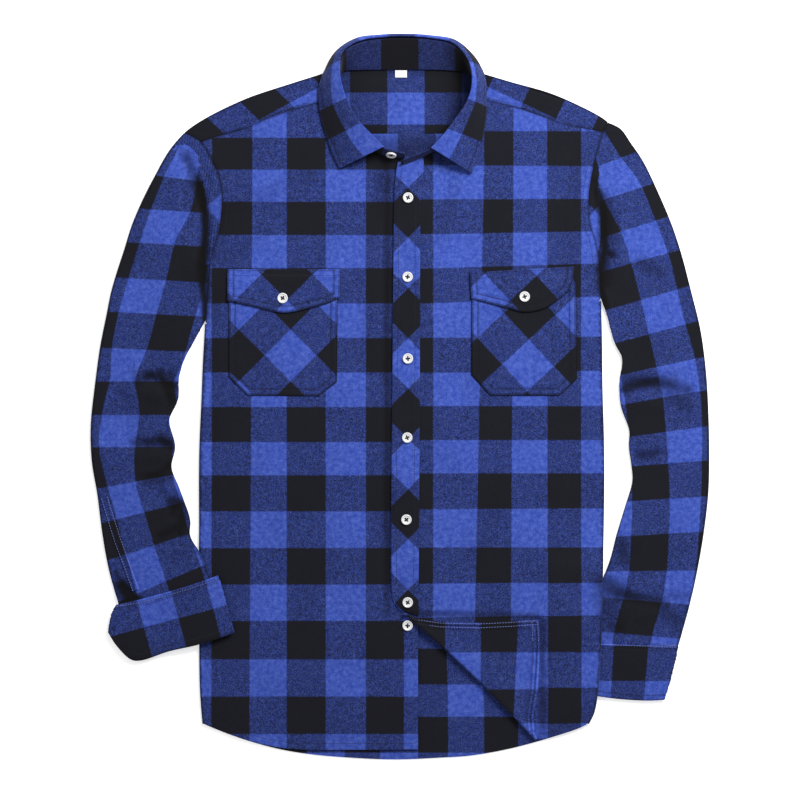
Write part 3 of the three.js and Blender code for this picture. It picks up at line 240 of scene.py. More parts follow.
# Columns: x1, y1, x2, y2, height, half width; finer creases that only the looks have
CREASES = (
    (-224, 238, -215, 205, -2.2, 5), (-215, 205, -210.5, 172, -2.2, 5), (-210.5, 172, -216, 148, -2.2, 4.5),
    (-216, 148, -216, 110, -2.0, 5), (-216, 112, -214, 84, -2.4, 4.5), (-232, 236, -222, 170, 1.4, 7),
    (-225, 158, -224, 108, 1.2, 7), (-282.7, 20.9, -269.5, 27.5, -1.8, 4.5), (-270, 27.5, -257, 28.6, -2.0, 4.5),
    (-257.4, 28.6, -247.5, 18.7, -2.0, 4.5), (-258.5, 13, -250.8, -5.5, -1.8, 6), (-277, 8, -262, -4, 1.3, 8),
    (-308, 18.7, -299.2, -8.8, -0.9, 7), (-299.2, -52.8, -275, -47.3, -1.4, 4.5), (-275, -47, -251, -52, -1.6, 4.5),
    (-278, -64, -258, -66, 0.9, 8), (-291.5, -89, -258.5, -87, -1.5, 5), (-280, -101, -260, -102, -0.8, 6),
    (-262, -80, -252, -113, 1.3, 5), (-247.5, -119, -250.8, -135, -1.8, 5), (-245, -148, -237, -152, -1.4, 5),
    (-309, -201, -291.5, -221, -2.0, 5), (-300, 160, -316, 70, 0.5, 8), (-268, 110, -282, 40, -0.5, 7),
    (217.8, 211, 220, 161.7, -1.4, 5), (220, 161.7, 217.8, 106.7, -1.4, 4.5), (220, 148, 237, 162, -1.4, 5),
    (262, 150, 281, 134, -0.9, 8), (244, 15.4, 275, 17.6, -1.6, 5.5), (275, 17.6, 308, 19.8, -0.8, 6),
    (297, 1, 325, 5.5, -0.7, 6), (264, 27.5, 319, 35, 1.4, 8), (247, -1, 281, 2, 0.6, 7),
    (257, -69, 286, -60.5, -1.2, 5.5), (253, -45, 256, -76, 0.9, 4), (233, -163, 264, -174, -0.9, 8),
    (223, -212, 258, -220, -1.6, 7), (258, -220, 292, -227, -0.9, 5), (258, -245, 284, -233, 1.4, 7),
    (228, -196, 252, -194, 1.1, 6), (225, -251, 248, -256, -1.2, 6), (282, 150, 300, 80, 0.5, 9),
    (-196, 200, -110, 238, 0.8, 10), (-190, 178, -120, 214, -0.7, 9), (-205, 120, -206, -300, -0.9, 5),
    (-213, 90, -214, -290, 0.6, 5), (198, 283, 190, 184, -0.7, 6), (-15, 254, -16, -235, -1.5, 4.5),
    (-24, 254, -14, 222, -0.9, 9), (77, -223, 112, -190, 0.6, 10), (60, 60, 52, -60, 0.4, 9),
    (110, -20, 96, -170, -0.5, 10), (-150, -20, -120, -160, 0.5, 11), (-90, -60, -70, -220, -0.5, 9),
    (-60, 160, -30, 60, -0.5, 8), (120, 240, 80, 180, 0.5, 9), (180, -30, 168, -140, 0.5, 10),
)
UNDULATION = 0.62

# Columns: x1, y1, x2, y2, darkness, half width; where the cloth is tucked in and no light reaches it
SHADOWS = (
    (-236.5, 266, -224, 243, 0.30, 7), (-222.2, 240.9, -218.9, 227.7, 0.80, 4.2), (-218.9, 227.7, -214, 205.7, 0.93, 4.4),
    (-214, 205.7, -213.4, 178.2, 0.95, 4.4), (-213.4, 178.2, -215, 161.7, 0.95, 5.2),
    (-215, 161.7, -217.8, 145.2, 0.95, 6.4), (-217.8, 145.2, -216.7, 123.2, 0.95, 6.4),
    (-216.7, 123.2, -214.5, 106.7, 0.95, 4.8), (-214.5, 106.7, -214.5, 84, 0.92, 3.4),
    (-227, 236, -219, 216, 0.45, 8), (-289.3, 16.5, -275, 23, 0.55, 4.5), (-275, 24.2, -262.9, 23.1, 0.82, 5.5),
    (-262.9, 23.1, -256.3, 14, 0.85, 5.5), (-256.3, 14, -248, 11, 0.80, 5.5), (-255, 8, -249, -5, 0.65, 6),
    (-277, -51, -262, -46.5, 0.5, 5), (-262, -46.5, -250, -53, 0.85, 6), (-275, -87, -258.5, -80.3, 0.55, 4),
    (-258.5, -80.3, -250.8, -72.6, 0.6, 4), (-277, -92, -256, -87, 0.45, 7), (-250.8, -115.5, -237, -118, 0.8, 6.5),
    (-237, -118, -238, -138, 0.6, 5.5), (-240, -140, -262, -151, 0.5, 5), (-305.5, -203.5, -291, -219, 0.96, 5),
    (-306, -207, -299, -219, 0.97, 8), (-300, -217, -285, -222, 0.97, 5), (-311, -193, -306, -204, 0.6, 3),
    (214, 238, 216.7, 225.5, 0.55, 4.5), (216.7, 225.5, 222.2, 203.5, 0.93, 5.6), (222.2, 203.5, 223.3, 178.2, 0.95, 5.2),
    (223.3, 178.2, 224.4, 159.5, 0.95, 5.8), (224.4, 159.5, 234, 156, 0.85, 4.5), (224.4, 159.5, 220, 139.7, 0.95, 5.6),
    (220, 139.7, 221.1, 117.7, 0.95, 4.6), (221.1, 117.7, 226, 99, 0.9, 3.8), (232, 172, 226, 214, 0.4, 8),
    (246.4, 8.8, 264, 14.3, 0.82, 6), (264, 14.3, 280.5, 17.6, 0.85, 6.5), (280.5, 17.6, 299.2, 13.2, 0.5, 6.5),
    (299.2, 13.2, 315, 9, 0.22, 7), (295, 0, 315, -9, 0.42, 8), (264, 147, 284, 137, 0.38, 8),
    (242, -158, 246, -179, 0.5, 7), (222, -203, 240, -213, 0.62, 10), (240, -213, 262, -221, 0.68, 6.5),
    (262, -221, 292, -229, 0.5, 6), (226, -215, 233, -250, 0.4, 15), (290, -237, 306, -246, 0.4, 8),
    (-205, 250, -196, 150, 0.16, 9), (-120, 236, -196, 204, 0.16, 10), (-150, 180, -190, 150, 0.14, 9),
    (-170, 214, -100, 244, 0.12, 9), (60, 236, 44, 170, 0.14, 9), (188, 250, 184, 120, 0.12, 9),
    (-14, 254, -14, -236, 0.42, 4), (-22, 240, -18, 200, 0.2, 8), (8, -237, 150, -240.5, 0.55, 3.8),
    (156, -246, 156.5, -360, 0.5, 3.8),
)
ROLLED_SHADE = 0.38

RIGHT_ROWS = (
    284.2, 249.2, 214.1, 177.5, 141.4, 102.5, 64.7, 26.8, -11, -49.5, -85.8, -125.4, -165.6, -205.7, -245.3,
    -287.7, -328.4, -369.6,
)
LEFT_ROWS = (
    291.5, 254.1, 216.7, 178.2, 140.8, 102.3, 64.9, 26.4, -9.9, -47.3, -83.6, -123.2, -165, -204.6, -242, -278.3,
    -317.9, -357.5,
)
LEFT_SIDE_ROWS = (
    291.5, 253, 217.3, 181.5, 146.3, 110, 66, 28.6, -9.9, -47.3, -83.6, -122.1, -165, -203.5, -238.7, -279.4,
    -317.9, -357.5,
)
BACK_ROWS = (317.9, 262, *(238.7 - 39.6 * k for k in range(15)), -350.9, -390.5)

# Columns: x, y, x, y of a line across the sleeve at the edge of each band
SLEEVE_RIGHT_BANDS = (
    (-250.8, 273.9, -220, 282.7), (-266.6, 242.6, -218.9, 236.5), (-284.9, 206.3, -216.7, 202), (-299.2, 169.7, -215.6, 165),
    (-311.3, 130.9, -217.8, 125.4), (-321.2, 93.5, -231, 89.1), (-327.8, 53.9, -233.2, 49.5),
    (-335, 17.1, -240, 17.1), (-338, -19.8, -245, -19.8), (-338, -55, -245, -55), (-334.4, -101.2, -250.8, -85.8),
    (-327.8, -138.6, -250.8, -118.8), (-321.2, -179.3, -220, -146.3), (-280.5, -212.3, -216.7, -184.8),
)
SLEEVE_LEFT_BANDS = (
    (220, 254.1, 256.3, 267.3), (227.7, 217.8, 278.3, 234.3), (229.9, 177.1, 294.8, 198),
    (224.4, 138.6, 308, 161.7), (228.8, 95.7, 317.9, 122.1), (239.8, 60, 327.8, 83.6),
    (247.5, 25.3, 333.3, 44), (246.4, -7.7, 336.6, 7.7), (250.8, -44, 337.7, -31.9),
    (255.2, -75.9, 337.7, -69.3), (250.8, -114.4, 337.7, -108.9), (240.9, -152.9, 333.3, -147.4),
    (228.8, -191.4, 325.6, -190.3), (223.3, -220, 316.8, -227.7), (221.1, -257.4, 308, -265.1),
)

# Rows of the leaf's table at which its bands change, from a blue one on
LEAF_BAND_ROWS = (-0.1, 1.75, 3.4, 5.5, 7.0, 8.3, 9.4, 10.8, 12.4, 14.6, 16.7, 18.2)
LEAF_STARTS = ((0, 0.76), (3.4, 0.52), (14.6, 0.52), (18, 0.76))
STAND_BLACK_FROM = -21.0


def rounded(rows: Rows, steps: int = 24) -> np.ndarray:
    """A smooth line through the rows of a table.

    Args:
        rows: Points with two or three columns.
        steps: Points from one row to the next.

    Returns:
        The line's points, three columns.
    """
    points = flat_points(rows)
    points = np.vstack([2 * points[0] - points[1], points, 2 * points[-1] - points[-2]])
    share = np.linspace(0, 1, steps, endpoint=False)[:, None]
    found = []
    for k in range(1, len(points) - 2):
        a, b, c, d = points[k - 1 : k + 3]
        gaps = np.maximum(np.linalg.norm([b - a, c - b, d - c], axis=1) ** 0.5, 1e-4)
        start = (b - a) / gaps[0] - (c - a) / (gaps[0] + gaps[1]) + (c - b) / gaps[1]
        end = (c - b) / gaps[1] - (d - b) / (gaps[1] + gaps[2]) + (d - c) / gaps[2]
        start, end = start * gaps[1], end * gaps[1]
        bend = 3 * (c - b) - 2 * start - end
        twist = 2 * (b - c) + start + end
        found.append(b + start * share + bend * share**2 + twist * share**3)
    return np.vstack([*found, points[-2:-1]])


def flat_points(rows: Rows) -> np.ndarray:
    """Points of a table, with z 0 where it has only x and y."""
    points = np.array(rows, float)
    return np.hstack([points, np.zeros((len(points), 1))]) if points.shape[1] == 2 else points


def shares(line: np.ndarray) -> np.ndarray:
    """How far along the line each of its points is, from 0 to 1."""
    sums = np.concatenate([[0.0], np.cumsum(np.linalg.norm(np.diff(line, axis=0), axis=1))])
    return sums / sums[-1]


def length(line: np.ndarray) -> float:
    """The line's length."""
    return float(np.linalg.norm(np.diff(line, axis=0), axis=1).sum())


def at(line: np.ndarray, where: np.ndarray) -> np.ndarray:
    """The points at these shares of the line's length."""
    own = shares(line)
    return np.stack([np.interp(where, own, line[:, axis]) for axis in range(line.shape[1])], axis=1)


def part(line: np.ndarray, start: float, end: float, cell: float) -> np.ndarray:
    """The stretch of a line from one share to another, in cells of about that size."""
    count = max(2, round(abs(end - start) * length(line) / cell))
    return at(line, np.linspace(start, end, count + 1))


def share_at_y(line: np.ndarray, y: float) -> float:
    """The share of a falling line at which it passes that y."""
    return float(np.interp(-y, -line[:, 1], shares(line)))


def sideways(points: np.ndarray) -> np.ndarray:
    """Unit directions in the table plane, to the left of the line as it runs."""
    before = np.vstack([points[:1], points[:-1]])
    after = np.vstack([points[1:], points[-1:]])
    run = (after - before)[:, :2]
    run /= np.linalg.norm(run, axis=1)[:, None]
    return np.stack([-run[:, 1], run[:, 0], np.zeros(len(run))], axis=1)


def inset(points: np.ndarray, distance: float) -> np.ndarray:
    """The line moved to its left by that distance."""
    return points + sideways(points) * distance


def span(top: np.ndarray, foot: np.ndarray, left: np.ndarray, right: np.ndarray, height: Height) -> np.ndarray:
    """A grid of points inside four edges.

    Args:
        top: Upper edge, left to right.
        foot: Lower edge, left to right, with as many points.
        left: Left edge, from the top down.
        right: Right edge, from the top down, with as many points.
        height: Gives z from x and y.

    Returns:
        Points as rows, columns and three coordinates.
    """
    u = shares(top)[None, :, None]
    v = shares(left)[:, None, None]
    grid = top[None] * (1 - v) + foot[None] * v + left[:, None] * (1 - u) + right[:, None] * u
    grid = grid - (top[0] * (1 - u) + top[-1] * u) * (1 - v) - (foot[0] * (1 - u) + foot[-1] * u) * v
    grid[..., 2] = height(grid[..., 0], grid[..., 1])
    return grid


def edge_roll(line: np.ndarray, outward: np.ndarray, floor: Height, steps: int = 8) -> np.ndarray:
    """A half-round turn of the cloth from a line of top points down to the layer below.

    Args:
        line: The top layer's edge.
        outward: Unit directions out of the cloth.
        floor: Height of the lower layer.
        steps: Cells round the turn.

    Returns:
        Rows of points, from the top layer to the lower one.
    """
    low = floor(line[:, 0], line[:, 1])
    radius = (line[:, 2] - low) / 2
    rows = []
    for angle in np.linspace(0, math.pi, steps + 1):
        row = line + outward * (radius * math.sin(angle))[:, None]
        row[:, 2] = low + radius * (1 + math.cos(angle))
        rows.append(row)
    rows[-1][:, :2] = line[:, :2]
    return np.array(rows)


def ramp(start: float, end: float, value: np.ndarray) -> np.ndarray:
    """A soft step from 0 at start to 1 at end."""
    t = np.clip((value - start) / (end - start), 0, 1)
    return t * t * (3 - 2 * t)


def distance_to(line: np.ndarray, x: np.ndarray, y: np.ndarray) -> tuple[np.ndarray, np.ndarray]:
    """Distance of points from a line in the table plane.

    Args:
        line: The line's points.
        x: Places across.
        y: Places up the shirt.

    Returns:
        The distance, negative to the left of the line, and how far along the line the nearest point is.
    """
    best = np.full(x.shape, 1e9)
    signed = np.zeros(x.shape)
    along = np.zeros(x.shape)
    run = 0.0
    for (ax, ay, *_), (bx, by, *_) in zip(line[:-1], line[1:]):
        dx, dy = bx - ax, by - ay
        size = math.hypot(dx, dy)
        t = np.clip(((x - ax) * dx + (y - ay) * dy) / size**2, 0, 1)
        far = np.hypot(x - ax - dx * t, y - ay - dy * t)
        side = np.sign((x - ax) * dy - (y - ay) * dx)
        nearer = far < best
        best = np.where(nearer, far, best)
        signed = np.where(nearer, far * side, signed)
        along = np.where(nearer, run + t * size, along)
        run += size
    return signed, along


def folds(x: np.ndarray, y: np.ndarray) -> np.ndarray:
    """The cloth's folds and creases, as a height to add."""
    total = np.zeros(x.shape)
    for number, (x1, y1, x2, y2, height, width) in enumerate(FOLDS + CREASES):
        dx, dy = x2 - x1, y2 - y1
        t = np.clip(((x - x1) * dx + (y - y1) * dy) / (dx * dx + dy * dy), 0, 1)
        far = np.hypot(x - x1 - dx * t, y - y1 - dy * t)
        taper = 1.0 if number < len(FOLDS) else 1 - (2 * t - 1) ** 4
        total += height * taper * np.exp(-((far / width) ** 2))
    soft = np.sin(x / 17 + 1.4 * np.sin(y / 53)) * np.sin(y / 29 + 1.1 * np.sin(x / 41))
    return np.clip(total, -2.4, 2.2) + UNDULATION * soft


def plain(x: np.ndarray, y: np.ndarray) -> np.ndarray:
    """No darkness anywhere."""
    return np.ones(x.shape)


def crease_shade(x: np.ndarray, y: np.ndarray) -> np.ndarray:
    """How much of its brightness the cloth keeps, less deep in folds and along seams."""
    shade = 1 - 0.55 * np.clip(-folds(x, y) / 2.4, 0, 1) ** 1.3
    dark = np.zeros(x.shape)
    for x1, y1, x2, y2, depth, width in SHADOWS:
        dx, dy = x2 - x1, y2 - y1
        t = np.clip(((x - x1) * dx + (y - y1) * dy) / (dx * dx + dy * dy), 0, 1)
        far = np.hypot(x - x1 - dx * t, y - y1 - dy * t)
        dark = np.maximum(dark, depth * np.exp(-((far / width) ** 3)))
    shade = shade * (1 - dark)
    for line in SEAM_LINES:
        shade = shade * (1 - 0.62 * np.exp(-((distance_to(line, x, y)[0] / 1.4) ** 2)))
    return shade


def inside_shade(x: np.ndarray, y: np.ndarray) -> np.ndarray:
    """The darkness inside the neck: deepest at the wearer's left and under the front's edge."""
    neck = ramp(150, 230, y)
    west, east = 0.25 * ramp(-20, -66, x) * neck, 0.72 * ramp(30, 74, x) * neck
    under = 0.5 * ramp(299, 272, y) * neck
    below_stand = 0.35 * ramp(349, 358, y)
    return (1 - west) * (1 - east) * (1 - under) * (1 - below_stand)


def rolled_shade(x: np.ndarray, y: np.ndarray) -> np.ndarray:
    """The darkness of an edge that turns away from the light."""
    return np.full(x.shape, ROLLED_SHADE)


def cuff_bump(x: np.ndarray, y: np.ndarray) -> np.ndarray:
    """The body's rise over the left cuff that lies beneath its edge."""
    level = y + 0.42 * np.maximum(0, 207 - x)
    return CUFF_BUMP * ramp(140, 172, x) * ramp(-160, -190, y) * ramp(-357, -335, level)


def cuff_lift(x: np.ndarray, y: np.ndarray) -> np.ndarray:
    """The right sleeve end's rise over the body's edge."""
    return CUFF_LIFT * ramp(-274, -222, x) * ramp(-95, -160, y)


def back_height(x: np.ndarray, y: np.ndarray) -> np.ndarray:
    """Middle of the layer that lies on the table."""
    return FLOOR_LAYER + cuff_bump(x, y)


def seam_dip(x: np.ndarray, y: np.ndarray) -> np.ndarray:
    """The pull of the armhole and yoke seams."""
    total = np.zeros(x.shape)
    for line in SEAM_LINES:
        far, along = distance_to(line, x, y)
        pucker = 1 + 0.35 * np.sin(along / 2.1) * np.sin(along / 7.7 + 1)
        total -= 0.55 * pucker * np.exp(-((far / 2.6) ** 2))
    return total


def front_right_height(x: np.ndarray, y: np.ndarray) -> np.ndarray:
    """Middle of the right front."""
    return TOP_LAYER + folds(x, y) + seam_dip(x, y) - HEM_DROP * ramp(-340, -380, y)


def front_left_height(x: np.ndarray, y: np.ndarray) -> np.ndarray:
    """Middle of the left front."""
    overlap = OVERLAP_RISE * ramp(48, 24, x)
    return TOP_LAYER + cuff_bump(x, y) + folds(x, y) + seam_dip(x, y) + overlap


def front_height(x: np.ndarray, y: np.ndarray) -> np.ndarray:
    """Middle of the front that lies there."""
    return np.where(x < 0, front_right_height(x, y), front_left_height(x, y))


def inside_turned_cuff(x: np.ndarray, y: np.ndarray) -> np.ndarray:
    """How far a point is beyond the turned cuff's upper edge, from 0 to 1."""
    return ramp(-16, -3, -228.5 + (x + 313) * 0.29 - y)


def sleeve_right_low(x: np.ndarray, y: np.ndarray) -> np.ndarray:
    """Lower layer of the right sleeve."""
    return FLOOR_LAYER + cuff_lift(x, y) + TURNED_CUFF_RISE * inside_turned_cuff(x, y)


def sleeve_right_top(x: np.ndarray, y: np.ndarray) -> np.ndarray:
    """Upper layer of the right sleeve."""
    inside = inside_turned_cuff(x, y)
    return TOP_LAYER + cuff_lift(x, y) + (folds(x, y) + seam_dip(x, y)) * (1 - inside) + 0.3 * inside


def sleeve_left_low(x: np.ndarray, y: np.ndarray) -> np.ndarray:
    """Lower layer of the left sleeve."""
    return np.full(x.shape, FLOOR_LAYER)


def sleeve_left_top(x: np.ndarray, y: np.ndarray) -> np.ndarray:
    """Upper layer of the left sleeve."""
    return TOP_LAYER + folds(x, y) + seam_dip(x, y)


@dataclass(frozen=True)
class StraightCheck:
    """A check whose bands are known at the top and at the foot of a panel."""

    columns_top: tuple[float, ...]
    columns_foot: tuple[float, ...]
    rows: tuple[float, ...]
    first_column: int
    first_row: int
    top: float = 250.0
    foot: float = -350.0
    side_rows: tuple[float, ...] = ()
    near: float = 27.5
    side: float = 209.0

    def squares(self, x: np.ndarray, y: np.ndarray) -> np.ndarray:
        """Places on the check.

        Args:
            x: Places across.
            y: Places up the shirt.

        Returns:
            Column and row of each place, counted in squares.
        """
        t = np.clip((self.top - y) / (self.top - self.foot), 0, 1)
        lines = [a + (b - a) * t for a, b in zip(self.columns_top, self.columns_foot)]
        u = self.first_column + count_bands(x, lines)
        across = np.clip((x - self.near) / (self.side - self.near), 0, 1)
        ends = self.side_rows or self.rows
        v = self.first_row + count_bands(-y, [-a - (b - a) * across for a, b in zip(self.rows, ends)])
        return np.stack([u, v], axis=-1)


def count_bands(value: np.ndarray, lines: Sequence[np.ndarray]) -> np.ndarray:
    """How many bands lie before a value, given the rising lines between them."""
    total = (value - lines[0]) / SQUARE * (value < lines[0])
    for low, high in zip(lines[:-1], lines[1:]):
        total = total + np.clip((value - low) / (high - low), 0, 1)
    return total + (value - lines[-1]) / SQUARE * (value > lines[-1])


@dataclass(frozen=True)
class TurnedCheck:
    """A check turned by an angle about a point whose place on it is known."""

    x: float
    y: float
    angle: float
    column: float
    row: float
    size: float = SQUARE
    lean: float = 0.0

    def squares(self, x: np.ndarray, y: np.ndarray) -> np.ndarray:
        """Places on the check.

        Args:
            x: Places across.
            y: Places up the shirt.

        Returns:
            Column and row of each place, counted in squares.
        """
        c, s = math.cos(math.radians(self.angle)), math.sin(math.radians(self.angle))
        across = (x - self.x) * c + (y - self.y) * s
        down = (x - self.x) * s - (y - self.y) * c
        across -= down * math.tan(math.radians(self.lean))
        return np.stack([self.column + across / self.size, self.row + down / self.size], axis=-1)


@dataclass(frozen=True)
class SleeveCheck:
    """A check that follows a sleeve, and a second one where the cloth is tucked in beside the armhole."""

    west_edge: Rows
    east_edge: Rows
    row_edges: Rows
    row: int
    fold: Rows
    fold_side: float
    fold_foot: float
    tucked: TurnedCheck

    def squares(self, x: np.ndarray, y: np.ndarray) -> np.ndarray:
        """Places on the check.

        Args:
            x: Places across.
            y: Places up the shirt.

        Returns:
            Column and row of each place, counted in squares.
        """
        before = -distance_to(rounded(self.west_edge, 6), x, y)[0]
        left = distance_to(rounded(self.east_edge, 6), x, y)[0]
        inside = before / np.maximum(before + left, 0.1)
        u = 1 + np.where(before < 0, before / SQUARE, np.where(left < 0, 1 - left / SQUARE, inside))
        past = []
        for ax, ay, bx, by in self.row_edges:
            dx, dy = bx - ax, by - ay
            size = math.hypot(dx, dy) * (1 if dx > 0 else -1)
            past.append(((x - ax) * dy - (y - ay) * dx) / size)
        v = np.where(past[0] < 0, past[0] / SQUARE, 0.0)
        for above, below in zip(past[:-1], past[1:]):
            between = (above >= 0) & (below < 0)
            v = np.where(above >= 0, v + np.where(between, above / (above - below), 1.0), v)
        v = self.row + v + np.where(past[-1] >= 0, past[-1] / SQUARE, 0.0)
        beyond = distance_to(rounded(self.fold, 6), x, y)[0] * self.fold_side > 0
        chosen = (beyond & (y > self.fold_foot))[..., None]
        return np.where(chosen, self.tucked.squares(x, y), np.stack([u, v], axis=-1))


SEAM_LINES = [rounded(rows, 6) for rows in (ARMHOLE_RIGHT, ARMHOLE_LEFT, YOKE_SEAM_RIGHT, YOKE_SEAM_LEFT)]

RIGHT_CHECK = StraightCheck(
    (-206.3, -161.7, -124.3, -81.4, -37.4, 4.4), (-207, -165, -124.3, -81.4, -37.4, 4.4), RIGHT_ROWS, 0, 0
)
LEFT_CHECK = StraightCheck(
    (36.3, 92.4, 124.3, 161.2, 198.5), (36.3, 80.1, 121, 162.2, 198.5), LEFT_ROWS, 1, 0, side_rows=LEFT_SIDE_ROWS
)
BACK_CHECK = StraightCheck(
    (-85.2, -43.7, -2.2, 39.3, 78, 116), (-61, -22, 19.8, 52.8, 92.4, 129.8), BACK_ROWS, 0, 1
)
CORNER_CHECK = StraightCheck(
    (49.5, 88.4, 129.8), (49.5, 88.4, 123.2), (-279.7, -320.1, -357.2), 1, 1, -245, -370
)
YOKE_BACK_CHECK = StraightCheck((-55, -13.8, 27, 68), (-55, -13.8, 27, 68), (358.6, 334.4, 299.2), 0, 0)
YOKE_RIGHT_CHECK = TurnedCheck(-154, 304.2, 28.6, 0.03, 1, 39, 17)
YOKE_LEFT_CHECK = TurnedCheck(169.4, 305.8, -25, 0.95, 1, 40.7)
PLACKET_CHECK = TurnedCheck(8.9, 91.7, 45, 0.5, 0.5, 38.9)
SLEEVE_RIGHT_CHECK = SleeveCheck(
    west_edge=(
        (-235, 292), (-242, 275), (-248.6, 260.7), (-257.4, 244.2), (-264, 227.7), (-273.9, 203.5), (-284.9, 170.5),
        (-298.1, 128.7), (-308, 93.5), (-315.7, 53.9), (-317.9, 18.7), (-323.4, -3.3), (-326.7, -20.9), (-330, -52.8),
        (-322.3, -91.3), (-311.3, -129.8), (-303.6, -162.8), (-298.1, -179.3), (-289.3, -212.3), (-282, -240),
    ),
    east_edge=(
        (-225.5, 293.7), (-218.9, 271.7), (-222.2, 244.2), (-229.9, 203.5), (-246.4, 170.5), (-256.3, 128.7),
        (-266.2, 93.5), (-277.2, 53.9), (-290.4, 18.7), (-287.1, -3.3), (-286, -20.9), (-290.4, -52.8),
        (-290.4, -91.3), (-279.4, -129.8), (-269.5, -162.8), (-253, -212.3), (-246.4, -240),
    ),
    row_edges=SLEEVE_RIGHT_BANDS,
    row=-1,
    fold=(
        (-248, 272), (-235.4, 275.6), (-227.7, 271.7), (-222.2, 262.9), (-218.9, 251.9), (-216.2, 238.7),
        (-213.4, 227.7), (-212.3, 216.7), (-212.9, 203.5), (-213.4, 185.9), (-213, 140),
    ),
    fold_side=-1,
    fold_foot=146,
    tucked=TurnedCheck(-212.3, 209, 39, 1, 1, 90),
)
SLEEVE_LEFT_CHECK = SleeveCheck(
    west_edge=(
        (192.5, 288.2), (214.5, 238.7), (225.5, 213.4), (234.3, 196.9), (242, 181.5), (253, 148.5), (281.6, 31.9),
        (288.2, -1.1), (295.9, -113.3), (294.8, -151.8), (292.6, -191.4), (286.5, -226.6), (282.7, -239.8),
        (277.2, -258.5), (272, -285),
    ),
    east_edge=(
        (214, 310), (223.3, 292.6), (242, 262.9), (261.8, 236.5), (277.2, 200.2), (293.7, 158.4), (303.6, 118.8),
        (312.4, 81.4), (323.4, 41.8), (328.9, 5.5), (331.1, -33), (330.7, -71.5), (330, -110), (327.8, -146.3),
        (324.5, -188.1), (319, -223.3), (312.4, -261.8), (307, -290),
    ),
    row_edges=SLEEVE_LEFT_BANDS,
    row=1,
    fold=((213.5, 262), (217.3, 252), (217.6, 238.7), (216.7, 222.2), (220, 200), (220, 172), (216, 150)),
    fold_side=1,
    fold_foot=152,
    tucked=TurnedCheck(213.4, 204.6, -45, 1, 1, 60),
)
CUFF_RIGHT_CHECK = TurnedCheck(-289.3, -254.7, 15.3, 0.766, 2, 39.5)
CUFF_LEFT_CHECK = StraightCheck((234.3, 272.8), (231, 267.3), (-272.8, -311.3), 0, 0, -270, -330)


@dataclass
class Panel:
    """A sheet of cloth: grids of its middle surface, each with its places on the check."""

    name: str
    thickness: float = CLOTH
    grids: list[tuple[np.ndarray, np.ndarray, np.ndarray]] = field(default_factory=list)

    def add(self, grid: np.ndarray, squares: Squares, shade: Height = crease_shade) -> np.ndarray:
        """Adds a grid of points and returns it.

        Args:
            grid: Points as rows, columns and three coordinates.
            squares: Gives the places on the check from x and y.
            shade: Gives the brightness that the cloth keeps.

        Returns:
            The same grid.
        """
        x, y = grid[..., 0], grid[..., 1]
        self.grids.append((grid, squares(x, y), shade(x, y)))
        return grid

    def area(self) -> float:
        """Area of the cloth in square metres."""
        total = 0.0
        for grid, *_ in self.grids:
            first = grid[1:, 1:] - grid[:-1, :-1]
            second = grid[1:, :-1] - grid[:-1, 1:]
            total += float(np.linalg.norm(np.cross(first, second), axis=-1).sum()) / 2
        return total * MM * MM

    def build(self, material: bpy.types.Material) -> bpy.types.Object:
        """Makes the cloth wall.

        Args:
            material: Its finish.

        Returns:
            The finished object, with a live wall and edge modifier.
        """
        bm = bmesh.new()
        check = bm.loops.layers.uv.new("Check")
        # Painted shade and painted highlights per point, read by the flannel's base colour
        dark = bm.verts.layers.float.new("Shade")
        for points, squares, shades in self.grids:
            rows, cols = points.shape[:2]
            done = len(bm.faces)
            made = bmesh.ops.create_grid(bm, x_segments=cols - 1, y_segments=rows - 1, size=1.0)
            places = {}
            for vert in made["verts"]:
                spot = round((vert.co.y + 1) / 2 * (rows - 1)), round((vert.co.x + 1) / 2 * (cols - 1))
                places[vert] = squares[spot]
                vert[dark] = shades[spot]
                vert.co = points[spot] * MM
            bm.faces.ensure_lookup_table()
            for face in bm.faces[done:]:
                for loop in face.loops:
                    loop[check].uv = places[loop.vert]
        bmesh.ops.remove_doubles(bm, verts=bm.verts, dist=0.00001)
        bmesh.ops.recalc_face_normals(bm, faces=bm.faces)
        for face in bm.faces:
            face.smooth = True
        return finish(self.name, bm, material, self.thickness)


def finish(name: str, bm: bmesh.types.BMesh, material: bpy.types.Material, wall: float = 0.0) -> bpy.types.Object:
    """Turns a bmesh into an object of the shirt.

    Args:
        name: The piece's name.
        bm: Its mesh in metres, freed here.
        material: Its finish.
        wall: Thickness in millimetres of a sheet, or 0 for a solid.

    Returns:
        The object, riding on the shirt.
    """
    mesh = bpy.data.meshes.new(name)
    bm.to_mesh(mesh)
    bm.free()
    mesh.materials.append(material)
    piece = bpy.data.objects.new(name, mesh)
    bpy.context.scene.collection.objects.link(piece)
    if wall:
        solid = piece.modifiers.new("Wall", "SOLIDIFY")
        solid.thickness = wall * MM
        solid.offset = 0.0
        edge = piece.modifiers.new("Edge", "BEVEL")
        edge.width = 0.3 * MM
        edge.segments = 2
        edge.limit_method = "ANGLE"
        edge.angle_limit = math.radians(55)
    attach(piece, "root")
    logging.info("%s: %d faces", name, len(mesh.polygons))
    return piece


def stands_for(piece: bpy.types.Object, node: str) -> bpy.types.Object:
    """Hides the solid that a piece stands for, and returns the piece."""
    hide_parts(node)
    return piece


